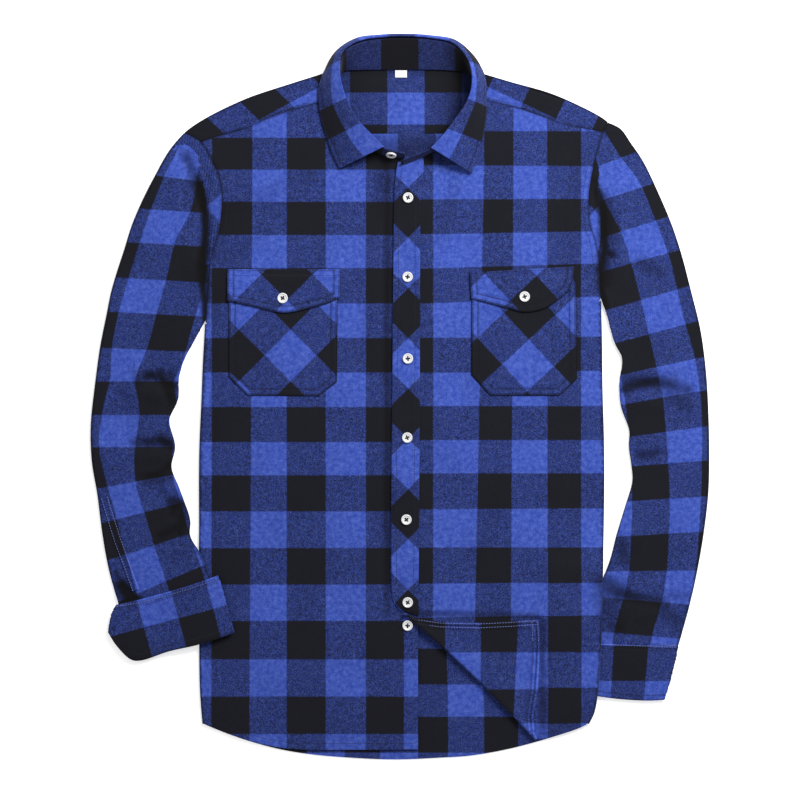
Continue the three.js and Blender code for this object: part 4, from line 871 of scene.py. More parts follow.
def threads(name: str, lines: Sequence[np.ndarray], outs: Sequence[np.ndarray], material: bpy.types.Material,
            pitch: float = 3.0, size: float = 0.62) -> bpy.types.Object:
    """Stitches along lines on the cloth.

    Args:
        name: The piece's name.
        lines: Lines of points on the cloth's surface.
        outs: For each line, the direction out of the cloth at its points.
        material: The thread.
        pitch: From one stitch to the next.
        size: Width of a stitch.

    Returns:
        One object with all the stitches.
    """
    bm = bmesh.new()
    for line, out in zip(lines, outs):
        count = max(2, round(length(line) / pitch))
        spots = np.linspace(0, 1, count + 1)
        points = at(line, spots)
        normals = at_own(line, out, spots)
        for a, b, n in zip(points[:-1], points[1:], normals[:-1]):
            run = Vector(b - a)
            along = run.normalized()
            up = Vector(n).normalized()
            side = up.cross(along).normalized()
            up = along.cross(side)
            turn = Matrix((along, side, up)).transposed().to_4x4()
            middle = (Vector(a) + Vector(b)) / 2 + up * 0.02
            scale = Matrix.Diagonal((run.length * 0.44, size * 0.5, size * 0.36, 1))
            place = Matrix.Scale(MM, 4) @ Matrix.Translation(middle) @ turn @ scale
            bmesh.ops.create_icosphere(bm, subdivisions=1, radius=1.0, matrix=place)
    for face in bm.faces:
        face.smooth = True
    return finish(name, bm, material)


def at_own(line: np.ndarray, values: np.ndarray, where: np.ndarray) -> np.ndarray:
    """Values that go with a line's points, read at shares of its length."""
    own = shares(line)
    return np.stack([np.interp(where, own, values[:, axis]) for axis in range(3)], axis=1)


def grid_outs(grid: np.ndarray) -> np.ndarray:
    """Unit directions out of a grid's surface, on the side that its rows and columns give."""
    down = np.gradient(grid, axis=0)
    across = np.gradient(grid, axis=1)
    out = np.cross(down, across)
    out /= np.maximum(np.linalg.norm(out, axis=-1), 1e-9)[..., None]
    return out


def on_cloth(line: np.ndarray, height: Height, thickness: float = CLOTH) -> tuple[np.ndarray, np.ndarray]:
    """A line laid on a layer of cloth.

    Args:
        line: Points in the table plane.
        height: Middle of the layer.
        thickness: The layer's thickness.

    Returns:
        The points on its upper surface, and the directions out of it.
    """
    points = line.copy()
    points[:, 2] = height(line[:, 0], line[:, 1]) + thickness / 2
    outs = np.tile([0.0, 0.0, 1.0], (len(line), 1))
    return points, outs


def seam_rows(hole: np.ndarray, start: float, end: float, side: float) -> np.ndarray:
    """An armhole's stretch, moved off the seam towards the body."""
    return inset(part(hole, start, end, MEDIUM), side * SEW_GAP)


def resampled(line: np.ndarray, like: np.ndarray) -> np.ndarray:
    """The line with as many points as another one."""
    return at(line, np.linspace(0, 1, len(like)))


@dataclass
class Body:
    """Back, yoke, both fronts and the button strip."""

    flannel: bpy.types.Material
    thread: bpy.types.Material
    pale_thread: bpy.types.Material
    cell: float = COARSE
    back_cell: float = 4.8
    back_seam_at: float = 0.25
    back_seam_level: tuple[float, float] = (80.0, 289.0)
    seam_stitch: float = 6.3

    def back_seam(self, start: np.ndarray, end: np.ndarray, count: int) -> np.ndarray:
        """The seam between back and yoke.

        Args:
            start: Its end at the right armhole.
            end: Its end at the left armhole.
            count: How many points it gets.

        Returns:
            Its points.
        """
        x, y = self.back_seam_level
        line = np.array([start, (-x, y, 0), (x, y, 0), end])
        where = np.sort(np.concatenate([np.linspace(0, 1, count - 2), shares(line)[1:3]]))
        return at(line, where)

    def make_back(self) -> None:
        """Builds the back panel."""
        edges = []
        for hole, side, sign in ((ARMHOLE_RIGHT, SIDE_RIGHT, 1), (ARMHOLE_LEFT, SIDE_LEFT, -1)):
            armhole = seam_rows(rounded(hole), self.back_seam_at, 1, sign)
            edge = inset(part(rounded(side), 0, 1, self.back_cell), sign * (EDGE_RADIUS + 0.3))
            edges.append(np.vstack([armhole, edge]))
        left, right = edges
        right = resampled(right, left)
        hem = part(rounded(BACK_HEM), 0, 1, self.back_cell)
        hem[0], hem[-1] = left[-1], right[-1]
        panel = Panel("back_panel")
        top = self.back_seam(left[0], right[0], len(hem))
        panel.add(span(top, hem, left, right, back_height), BACK_CHECK.squares, inside_shade)
        piece = stands_for(panel.build(self.flannel), "back")
        panel.area()

    def make_front_right(self) -> None:
        """Builds the right front, which rolls under at the side."""
        hole = rounded(ARMHOLE_RIGHT)
        seam = part(rounded(YOKE_SEAM_RIGHT), 1, 0, self.cell) - (0, SEW_GAP, 0)
        armhole = seam_rows(hole, share_at_y(hole, seam[0, 1]), 1, 1)
        side = inset(part(rounded(SIDE_RIGHT), 0, 1, MEDIUM), EDGE_RADIUS)
        left = np.vstack([armhole, side[1:]])
        neck = part(rounded(FRONT_RIGHT_NECKLINE), 0, 1, self.cell)
        top = np.vstack([left[:1], seam[1:], neck[1:]])
        right = at(flat_points(FRONT_RIGHT_EDGE), np.linspace(0, 1, len(left)))
        hem = at(rounded(FRONT_RIGHT_HEM), np.linspace(0, 1, len(top)))
        right[0], hem[0] = top[-1], left[-1]
        panel = Panel("right_front")
        grid = panel.add(span(top, hem, left, right, front_right_height), RIGHT_CHECK.squares)
        edge = grid[len(armhole) :, 0]
        panel.add(edge_roll(edge, -sideways(edge), back_height), RIGHT_CHECK.squares, rolled_shade)
        piece = stands_for(panel.build(self.flannel), "front_right")
        panel.area()
        hem_line = at(rounded(FRONT_RIGHT_HEM), np.linspace(0.01, 0.995, 200)) + (0, 7, 0)
        beside = self.beside_seams(ARMHOLE_RIGHT, YOKE_SEAM_RIGHT, 1)
        self.stitch("right_front_stitches", [hem_line, *beside], front_right_height)

    def beside_seams(self, hole: Rows, yoke: Rows, sign: float) -> list[np.ndarray]:
        """The topstitched lines beside an armhole and below a yoke seam.

        Args:
            hole: The armhole.
            yoke: The yoke seam.
            sign: 1 on the wearer's right, -1 on the left.

        Returns:
            The two lines.
        """
        armhole = inset(part(rounded(hole), 0.17, 0.97, MEDIUM), sign * self.seam_stitch)
        below = inset(part(rounded(yoke), 0.03, 0.93, MEDIUM), -sign * 2.0)
        return [armhole, below]

    def corner(self, fold: np.ndarray, panel: Panel) -> None:
        """Adds the turned-up corner: it rolls over along the fold and lies on the front.

        Args:
            fold: The fold's points.
            panel: The left front.
        """
        free = flat_points(TURNED_CORNER)
        tip = shares(free)[5]
        half = len(fold) // 2
        where = np.concatenate([np.linspace(0, tip, half + 1), np.linspace(tip, 1, len(fold) - half)[1:]])
        edge = at(free, where)
        outward = -sideways(fold)
        rows = []
        for angle in np.linspace(0, math.pi, 9):
            row = fold + outward * FOLD_RADIUS * math.sin(angle)
            row[:, 2] = fold[:, 2] + FOLD_RADIUS * (1 - math.cos(angle))
            rows.append(row)
        crest = rows[-1]
        for t in np.concatenate([np.linspace(0, 0.92, 36)[1:], np.linspace(0.92, 1, 13)[1:]]):
            row = crest + (edge - crest) * t
            resting = front_left_height(row[:, 0], row[:, 1]) + STEP
            share = max(0.0, 1 - t / 0.45) ** 1.5
            row[:, 2] = resting + (crest[:, 2] - resting) * share
            rows.append(row)

        def shade(x: np.ndarray, y: np.ndarray) -> np.ndarray:
            """Painted highlights on the turned hem's ridges and painted shade in its grooves, along its two stitched
            lines.
            """
            far = np.abs(distance_to(free, x, y)[0])
            # Painted highlights (added bands) and painted shade (taken-away bands) at set distances from the hem's edge
            lines = 0.9 * np.exp(-(((far - 1.0) / 0.9) ** 2)) - 0.6 * np.exp(-(((far - 3.2) / 0.9) ** 2))
            lines += 0.6 * np.exp(-(((far - 5.4) / 0.8) ** 2)) - 0.45 * np.exp(-(((far - 7.6) / 1.1) ** 2))
            return crease_shade(x, y) * (1 + lines)

        panel.add(np.array(rows), CORNER_CHECK.squares, shade)

    def make_front_left(self) -> None:
        """Builds the left front with its turned-up corner."""
        hole = rounded(ARMHOLE_LEFT)
        seam = part(rounded(YOKE_SEAM_LEFT), 0, 1, self.cell) - (0, SEW_GAP, 0)
        armhole = seam_rows(hole, share_at_y(hole, seam[-1, 1]), 1, -1)
        side = inset(part(rounded(SIDE_LEFT), 0, 1, MEDIUM), -EDGE_RADIUS)
        right = np.vstack([armhole, side[1:]])
        neck = part(rounded(FRONT_LEFT_NECKLINE), 0, 1, self.cell)
        top = np.vstack([neck[:-1], seam[:-1], right[:1]])
        left = at(rounded(FRONT_LEFT_EDGE), np.linspace(0, 1, len(right)))
        left[0] = top[0]
        fold_cells = round(0.74 * len(top))
        fold = inset(at(rounded(CORNER_FOLD), np.linspace(0, 1, fold_cells + 1)), FOLD_RADIUS + CLOTH / 2)
        hem = at(rounded(FRONT_LEFT_HEM), np.linspace(0, 1, len(top) - fold_cells))
        foot = np.vstack([fold, hem[1:]])
        foot[0], foot[-1] = left[-1], right[-1]
        panel = Panel("left_front")
        grid = panel.add(span(top, foot, left, right, front_left_height), LEFT_CHECK.squares)
        edge = grid[len(armhole) :, -1]
        panel.add(edge_roll(edge, sideways(edge), back_height), LEFT_CHECK.squares, rolled_shade)
        self.corner(grid[-1, : fold_cells + 1], panel)
        piece = stands_for(panel.build(self.flannel), "front_left")
        panel.area()
        hem_lines = [at(flat_points(TURNED_CORNER[1:6]), np.linspace(0, 0.985, 90)) - (0, drop, 0) for drop in (1.2, 5.4)]
        bar_lines = [at(np.array([(x, -245.5, 0), (x + 1, -268, 0)]), np.linspace(0, 1, 9)) for x in (144.6, 150.6)]
        self.stitch("corner_stitches", hem_lines + bar_lines, lambda x, y: front_left_height(x, y) + STEP,
                    thread=self.pale_thread)
        short_hem = at(rounded(FRONT_LEFT_HEM), np.linspace(0.05, 0.95, 40)) + (0, 6, 0)
        beside = self.beside_seams(ARMHOLE_LEFT, YOKE_SEAM_LEFT, -1)
        self.stitch("left_front_stitches", [short_hem, *beside], front_left_height)

    def stitch(self, name: str, lines: Sequence[np.ndarray], height: Height,
               thread: bpy.types.Material | None = None) -> None:
        """Sews lines on a layer.

        Args:
            name: The piece's name.
            lines: Lines in the table plane.
            height: Middle of the layer.
            thread: The thread, if it isn't the navy one.
        """
        laid = [on_cloth(line, height) for line in lines]
        threads(name, [p for p, _ in laid], [o for _, o in laid], thread or self.thread)

    def make_yoke(self) -> None:
        """Builds the yoke: a back plate rolled over both shoulders down to the front seams."""
        panel = Panel("yoke_panel")
        halves = []
        for shoulder, seam, neck, hole_rows, sign, check in (
            (SHOULDER_RIGHT, YOKE_SEAM_RIGHT, NECK_END_RIGHT, ARMHOLE_RIGHT, 1, YOKE_RIGHT_CHECK),
            (SHOULDER_LEFT, YOKE_SEAM_LEFT, NECK_END_LEFT, ARMHOLE_LEFT, -1, YOKE_LEFT_CHECK),
        ):
            hole = rounded(hole_rows)
            top = inset(part(rounded(shoulder), 0, 1, MEDIUM), EDGE_RADIUS * sign)
            foot = resampled(rounded(seam), top)
            stop = share_at_y(hole, foot[-1, 1])
            down = 14
            armhole = inset(at(hole, np.linspace(0, stop, down)), sign * SEW_GAP)
            neck_line = at(flat_points(neck), np.linspace(0, 1, down))
            neck_line[0], neck_line[-1] = top[0], foot[0]
            armhole[0] = top[-1] = top[-1] + (sign * 0.2, 0, 0)
            foot[-1] = armhole[-1]
            grid = span(top, foot, neck_line, armhole, lambda x, y: TOP_LAYER + seam_dip(x, y))
            panel.add(grid, check.squares)
            roll = edge_roll(grid[0], -sign * sideways(grid[0]), back_height)
            panel.add(roll, check.squares, rolled_shade)
            back_hole = inset(at(hole, np.linspace(0, self.back_seam_at, 24)), sign * SEW_GAP)
            back_hole[0] = roll[-1, -1]
            halves.append((roll[-1], back_hole))
        (right_line, right_hole), (left_line, left_hole) = halves
        neckline = part(rounded(BACK_NECKLINE), 0, 1, MEDIUM)[1:-1]
        top = np.vstack([right_line[::-1], neckline, left_line])
        foot = self.back_seam(right_hole[-1], left_hole[-1], len(top))
        panel.add(span(top, foot, right_hole, left_hole, back_height), YOKE_BACK_CHECK.squares, inside_shade)
        piece = stands_for(panel.build(self.flannel), "yoke")
        panel.area()

    def make_placket(self) -> None:
        """Builds the bias-cut strip that the buttons sit on."""
        left = part(rounded(PLACKET_LEFT), 0, 1, FINE * 1.4)
        right = resampled(rounded(PLACKET_RIGHT), left)
        top = at(np.array([left[0], right[0]]), np.linspace(0, 1, 17))
        foot = at(rounded(PLACKET_FOOT), np.linspace(0, 1, 17))
        panel = Panel("button_strip")

        def height(x: np.ndarray, y: np.ndarray) -> np.ndarray:
            """Middle of the strip."""
            return front_left_height(x, y) + STEP

        panel.add(span(top, foot, left, right, height), PLACKET_CHECK.squares)
        piece = stands_for(panel.build(self.flannel), "placket")
        panel.area()
        near = inset(part(rounded(PLACKET_LEFT), 0.01, 0.99, 3), 5.5)
        far = inset(part(rounded(PLACKET_RIGHT), 0.03, 0.97, 3), -5.5)
        self.stitch("button_strip_stitches", [near, far], height)

    def make(self) -> None:
        """Builds every piece of the body."""
        self.make_back()
        self.make_yoke()
        self.make_front_right()
        self.make_front_left()
        self.make_placket()


@dataclass
class Sleeves:
    """Both sleeves, the strip along the right one's slit, and both cuffs."""

    flannel: bpy.types.Material
    thread: bpy.types.Material
    pale_thread: bpy.types.Material
    cell: float = 2.7

    def tube(self, panel: Panel, edges: Sequence[np.ndarray], upper: Height, lower: Height, squares: Squares,
             shade: Height = crease_shade) -> np.ndarray:
        """Adds a flattened tube: two layers rolled together along both sides.

        Args:
            panel: The cloth that it becomes.
            edges: Top, foot, outer and inner edge of the upper layer.
            upper: Middle of the upper layer.
            lower: Middle of the lower layer.
            squares: Places on the check.
            shade: Brightness that the upper layer keeps.

        Returns:
            The upper layer's grid.
        """
        above = panel.add(span(*edges, upper), squares, shade)
        below = above.copy()
        below[..., 2] = lower(below[..., 0], below[..., 1])
        panel.add(below, squares, plain)
        for column, neighbour in ((0, 1), (-1, -2)):
            out = above[:, column] - above[:, neighbour]
            out[:, 2] = 0
            out /= np.linalg.norm(out, axis=1)[:, None]
            panel.add(edge_roll(above[:, column], out, lower), squares, rolled_shade)
        return above

    def make_sleeve(self, name: str, node: str, tables: tuple[Rows, Rows, Rows], sign: float,
                    heights: tuple[Height, Height], check: "SleeveCheck") -> None:
        """Builds a sleeve.

        Args:
            name: The piece's name.
            node: The solid that it stands for.
            tables: Outer edge, inner edge and armhole.
            sign: 1 on the wearer's right, -1 on the left.
            heights: Upper and lower layer.
            check: Its check.
        """
        outer_rows, inner_rows, hole_rows = tables
        outer = part(rounded(outer_rows), 0, 1, self.cell)
        inner = resampled(rounded(inner_rows), outer)
        outer, inner = inset(outer, EDGE_RADIUS * sign), inset(inner, -EDGE_RADIUS * sign)
        top = part(rounded(hole_rows), 0, 1, self.cell)
        top[0], top[-1] = outer[0], inner[0]
        foot = at(np.array([outer[-1], inner[-1]]), np.linspace(0, 1, len(top)))
        panel = Panel(name)
        self.tube(panel, (top, foot, outer, inner), *heights, check.squares)
        piece = stands_for(panel.build(self.flannel), node)
        panel.area()

    def make_cuff(self, name: str, node: str, tables: Sequence[Rows], radius: float, sign: float,
                  lift: Height, check: "TurnedCheck") -> None:
        """Builds a cuff.

        Args:
            name: The piece's name.
            node: The solid that it stands for.
            tables: Top, foot, outer and inner edge.
            radius: Roll of its sides.
            sign: 1 on the wearer's right, -1 on the left.
            lift: Height of what it lies on.
            check: Its check.
        """
        top_rows, foot_rows, outer_rows, inner_rows = tables
        outer = inset(part(rounded(outer_rows), 0, 1, FINE), radius * sign)
        inner = inset(resampled(rounded(inner_rows), outer), -radius * sign)
        top = part(rounded(top_rows), 0, 1, FINE)
        foot = resampled(rounded(foot_rows), top)
        top[0], top[-1], foot[0], foot[-1] = outer[0], inner[0], outer[-1], inner[-1]
        seams = [top + (inner[-1] - inner[0]) * t for t in (0.0, 1.0)]

        def lower(x: np.ndarray, y: np.ndarray) -> np.ndarray:
            """Middle of the lower layer."""
            return BAND / 2 + lift(x, y)

        def upper(x: np.ndarray, y: np.ndarray) -> np.ndarray:
            """Middle of the upper layer, thinner at its edges."""
            dips = [np.abs(distance_to(line, x, y)[0]) for line in (seams[0], foot)]
            near = np.minimum(*dips)
            return lower(x, y) + 2 * radius - 0.5 * np.exp(-((near / 1.6) ** 2)) - 0.25 * np.exp(-(((near - 5) / 1.5) ** 2))

        def shade(x: np.ndarray, y: np.ndarray) -> np.ndarray:
            """Painted highlight along the seam's edge, and painted shade in a groove below it, along the stitches above
            the lower edge and at the lower edge.
            """
            upper_edge, lower_edge = (np.abs(distance_to(line, x, y)[0]) for line in (seams[0], foot))
            light = 1 + 0.8 * np.exp(-(((upper_edge - 0.7) / 0.8) ** 2)) - 0.45 * np.exp(-(((upper_edge - 3) / 1.0) ** 2))
            return light * (1 - 0.35 * np.exp(-(((lower_edge - 5) / 0.9) ** 2))) * (1 - 0.6 * ramp(2.2, 0, lower_edge))

        panel = Panel(name, BAND)
        above = self.tube(panel, (top, foot, outer, inner), upper, lower, check.squares, shade)
        piece = stands_for(panel.build(self.flannel), node)
        panel.area()
        rows = above.shape[0]
        kept = [round(5 / 60 * rows), rows - 1 - round(5 / 60 * rows)]
        lines = [above[row, 2:-2] + (0, 0, BAND / 2) for row in kept]
        outs = [np.tile([0.0, 0.0, 1.0], (len(line), 1)) for line in lines]
        threads(name + "_stitches", lines, outs, self.thread)
        seam = above[1, 2:-2] + (0, 0, BAND / 2 - 0.1)
        threads(name + "_edge_stitches", [seam], outs[:1], self.pale_thread)

    def make_slit(self) -> None:
        """Builds the strip along the right sleeve's slit."""
        middle = part(rounded(SLEEVE_SLIT), 0, 1, FINE)
        grid = np.array([inset(middle, side) for side in np.linspace(-3.5, 3.5, 7)])
        grid[..., 2] = sleeve_right_top(grid[..., 0], grid[..., 1]) + STEP
        panel = Panel("slit_strip")
        # Painted highlights along both edges of the strip, and painted shade across its middle
        strip_highlights_and_shade = np.array([1.9, 1.1, 0.8, 0.75, 0.8, 1.1, 1.9])[:, None] + np.zeros(grid.shape[:2])
        panel.grids.append((grid, SLEEVE_RIGHT_CHECK.squares(grid[..., 0], grid[..., 1]), strip_highlights_and_shade))
        piece = stands_for(panel.build(self.flannel), "sleeve_slit")
        panel.area()
        lines = [grid[side] + (0, 0, CLOTH / 2 - 0.05) for side in (0, -1)]
        outs = [np.tile([0.0, 0.0, 1.0], (len(line), 1)) for line in lines]
        threads("slit_strip_stitches", lines, outs, self.pale_thread)

    def make(self) -> None:
        """Builds every piece of the sleeves."""
        self.make_sleeve("right_sleeve", "sleeve_right", (SLEEVE_RIGHT_OUTER, SLEEVE_RIGHT_INNER, ARMHOLE_RIGHT), 1,
                         (sleeve_right_top, sleeve_right_low), SLEEVE_RIGHT_CHECK)
        self.make_sleeve("left_sleeve", "sleeve_left", (SLEEVE_LEFT_OUTER, SLEEVE_LEFT_INNER, ARMHOLE_LEFT), -1,
                         (sleeve_left_top, sleeve_left_low), SLEEVE_LEFT_CHECK)
        self.make_slit()
        self.make_cuff("right_cuff", "cuff_right", CUFF_RIGHT, TURNED_CUFF_RADIUS, 1, cuff_lift, CUFF_RIGHT_CHECK)
        self.make_cuff("left_cuff", "cuff_left", CUFF_LEFT, FLAT_CUFF_RADIUS, -1,
                       lambda x, y: np.zeros(x.shape), CUFF_LEFT_CHECK)


@dataclass(frozen=True)
class PocketShape:
    """Outlines of a pocket and its flap, and their places on the check."""

    side: str
    top: Rows
    foot: Rows
    flap_top: Rows
    flap_right: Rows
    flap_foot: Rows
    pocket_check: "TurnedCheck"
    flap_check: "TurnedCheck"


POCKET_SHAPES = (
    PocketShape(
        side="right",
        top=((-187.6, 129), (-68.3, 129)),
        foot=((-187.6, 22), (-166.8, 1.7), (-89, 1.1), (-69.3, 16.5)),
        flap_top=((-189.2, 140), (-65, 140)),
        flap_right=((-65, 140), (-65.5, 109)),
        flap_foot=(
            (-189.2, 105), (-154, 97.4), (-137.5, 93.5), (-126.5, 92.2), (-115.5, 93.5), (-99, 97.4),
            (-80, 102.6), (-65.5, 109),
        ),
        pocket_check=TurnedCheck(-119.9, 45.65, 45, 1.5, 1.5, 40),
        flap_check=TurnedCheck(-123.75, 134.2, 45, 0.5, 0.5, 40),
    ),
    PocketShape(
        side="left",
        top=((78.4, 129), (192.5, 129)),
        foot=((78.4, 24.2), (99, 1.7), (175, 1.7), (193.6, 20)),
        flap_top=((76, 136.4), (191, 143)),
        flap_right=((191, 143), (189, 127.6), (184, 115.5)),
        flap_foot=(
            (78, 107.6), (99, 102.3), (120.8, 96.8), (136.2, 93), (158, 97), (173, 106.4), (184, 115.5),
        ),
        pocket_check=TurnedCheck(140.25, 34.65, 43, 1.5, 1.5, 40),
        flap_check=TurnedCheck(148.5, 104.5, 43, 0.5, 0.5, 40),
    ),
)


@dataclass
class Pockets:
    """Both chest pockets with their flaps."""

    flannel: bpy.types.Material
    thread: bpy.types.Material
    edge_stitch: float = 1.8
    inner_stitch: float = 7.0

    def pocket_height(self, x: np.ndarray, y: np.ndarray) -> np.ndarray:
        """Middle of the pocket's cloth."""
        return front_height(x, y) + STEP

    def flap_height(self, x: np.ndarray, y: np.ndarray) -> np.ndarray:
        """Middle of the flap's cloth."""
        return front_height(x, y) + STEP * (1 + ramp(136, 130.5, y)) + 0.8 * ramp(118, 98, y)

    def pulled(self, height: Height, line: np.ndarray) -> Height:
        """A height pulled in along the stitches inside an edge.

        Args:
            height: The layer without stitches.
            line: The edge.

        Returns:
            The layer with them.
        """

        def stitched(x: np.ndarray, y: np.ndarray) -> np.ndarray:
            """The layer's middle at a place."""
            far, along = distance_to(line, x, y)
            far = np.abs(far)
            wave = 1 + 0.5 * np.sin(along / 3.1) * np.sin(along / 8.3)
            groove = 0.3 * wave * np.exp(-(((far - self.inner_stitch) / 1.7) ** 2))
            return height(x, y) - groove + 0.45 * ramp(7, 4, far) - 0.9 * ramp(1.4, 0, far)

        return stitched

    def edge_shade(self, line: np.ndarray) -> Height:
        """Darkness along an edge and its stitches.

        Args:
            line: The edge.

        Returns:
            The brightness that the cloth keeps.
        """

        def shade(x: np.ndarray, y: np.ndarray) -> np.ndarray:
            """The brightness kept at a place."""
            far = np.abs(distance_to(line, x, y)[0])
            stitches = 1 - 0.5 * np.exp(-(((far - self.inner_stitch) / 1.0) ** 2))
            return crease_shade(x, y) * stitches * (1 - 0.9 * ramp(2.4, 0, far))

        return shade

    def make_one(self, shape: PocketShape) -> None:
        """Builds a pocket and its flap.

        Args:
            shape: Its outlines.
        """
        corners = np.vstack([flat_points(shape.top[:1]), flat_points(shape.foot), flat_points(shape.top[1:])])
        count = round(length(flat_points(shape.top)) / FINE)
        foot_line = flat_points(shape.foot)
        marks = shares(foot_line)
        where = np.sort(np.concatenate([np.linspace(0, 1, count - 1), marks[1:-1]]))
        top = at(flat_points(shape.top), np.linspace(0, 1, len(where)))
        foot = at(foot_line, where)
        down = round(abs(shape.top[0][1] - shape.foot[0][1]) / FINE)
        left = at(np.array([top[0], foot[0]]), np.linspace(0, 1, down))
        right = at(np.array([top[-1], foot[-1]]), np.linspace(0, 1, down))
        height = self.pulled(self.pocket_height, corners)
        panel = Panel(f"{shape.side}_pocket")
        panel.add(span(top, foot, left, right, height), shape.pocket_check.squares, self.edge_shade(corners))
        piece = stands_for(panel.build(self.flannel), f"pocket_{shape.side}")
        panel.area()
        self.sew(f"{shape.side}_pocket_stitches", corners, height, 0.06, 0.94)

        top = part(flat_points(shape.flap_top), 0, 1, FINE)
        foot = resampled(rounded(shape.flap_foot), top)
        right_line = rounded(shape.flap_right)
        down = round(length(right_line) / FINE) + 12
        right = at(right_line, np.linspace(0, 1, down))
        left = at(np.array([top[0], foot[0]]), np.linspace(0, 1, down))
        edge = np.vstack([left, foot[1:-1], right[::-1]])
        height = self.pulled(self.flap_height, edge)
        panel = Panel(f"{shape.side}_flap")
        panel.add(span(top, foot, left, right, height), shape.flap_check.squares, self.edge_shade(edge))
        piece = stands_for(panel.build(self.flannel), f"flap_{shape.side}")
        panel.area()
        self.sew(f"{shape.side}_flap_stitches", edge, height, 0.01, 0.99)
        upper = [flat_points(shape.flap_top) - (0, drop, 0) for drop in (1.6, 7.0)]
        laid = [on_cloth(at(line, np.linspace(0.015, 0.985, 60)), height) for line in upper]
        threads(f"{shape.side}_flap_top_stitches", [p for p, _ in laid], [o for _, o in laid], self.thread)

    def sew(self, name: str, edge: np.ndarray, height: Height, start: float, end: float) -> None:
        """Sews both lines inside an edge that runs with the cloth on its left.

        Args:
            name: The piece's name.
            edge: The edge's points.
            height: Middle of the layer.
            start: Share of the edge where they start.
            end: Share where they end.
        """
        laid = []
        for distance in (self.edge_stitch, self.inner_stitch):
            line = mitred(edge, distance)
            laid.append(on_cloth(at(line, np.linspace(start, end, 240)), height))
        threads(name, [p for p, _ in laid], [o for _, o in laid], self.thread)

    def make(self) -> None:
        """Builds both pockets."""
        for shape in POCKET_SHAPES:
            self.make_one(shape)


def mitred(line: np.ndarray, distance: float) -> np.ndarray:
    """The line moved to its left, with its corners kept sharp.

    Args:
        line: Points in the table plane.
        distance: How far it moves.

    Returns:
        As many points.
    """
    runs = np.diff(line, axis=0)[:, :2]
    runs /= np.linalg.norm(runs, axis=1)[:, None]
    lefts = np.stack([-runs[:, 1], runs[:, 0]], axis=1)
    before, after = np.vstack([lefts[:1], lefts]), np.vstack([lefts, lefts[-1:]])
    middle = before + after
    middle *= (2 / np.maximum((middle**2).sum(axis=1), 0.5))[:, None]
    moved = line.copy()
    moved[:, :2] += middle * distance
    return moved


def seen_at(x: float, y: float, z: float) -> tuple[float, float, float]:
    """A point as seen from above, moved to where it stands at its height."""
    nearer = 1 - z / VIEW_DISTANCE
    return x * nearer, y * nearer, z


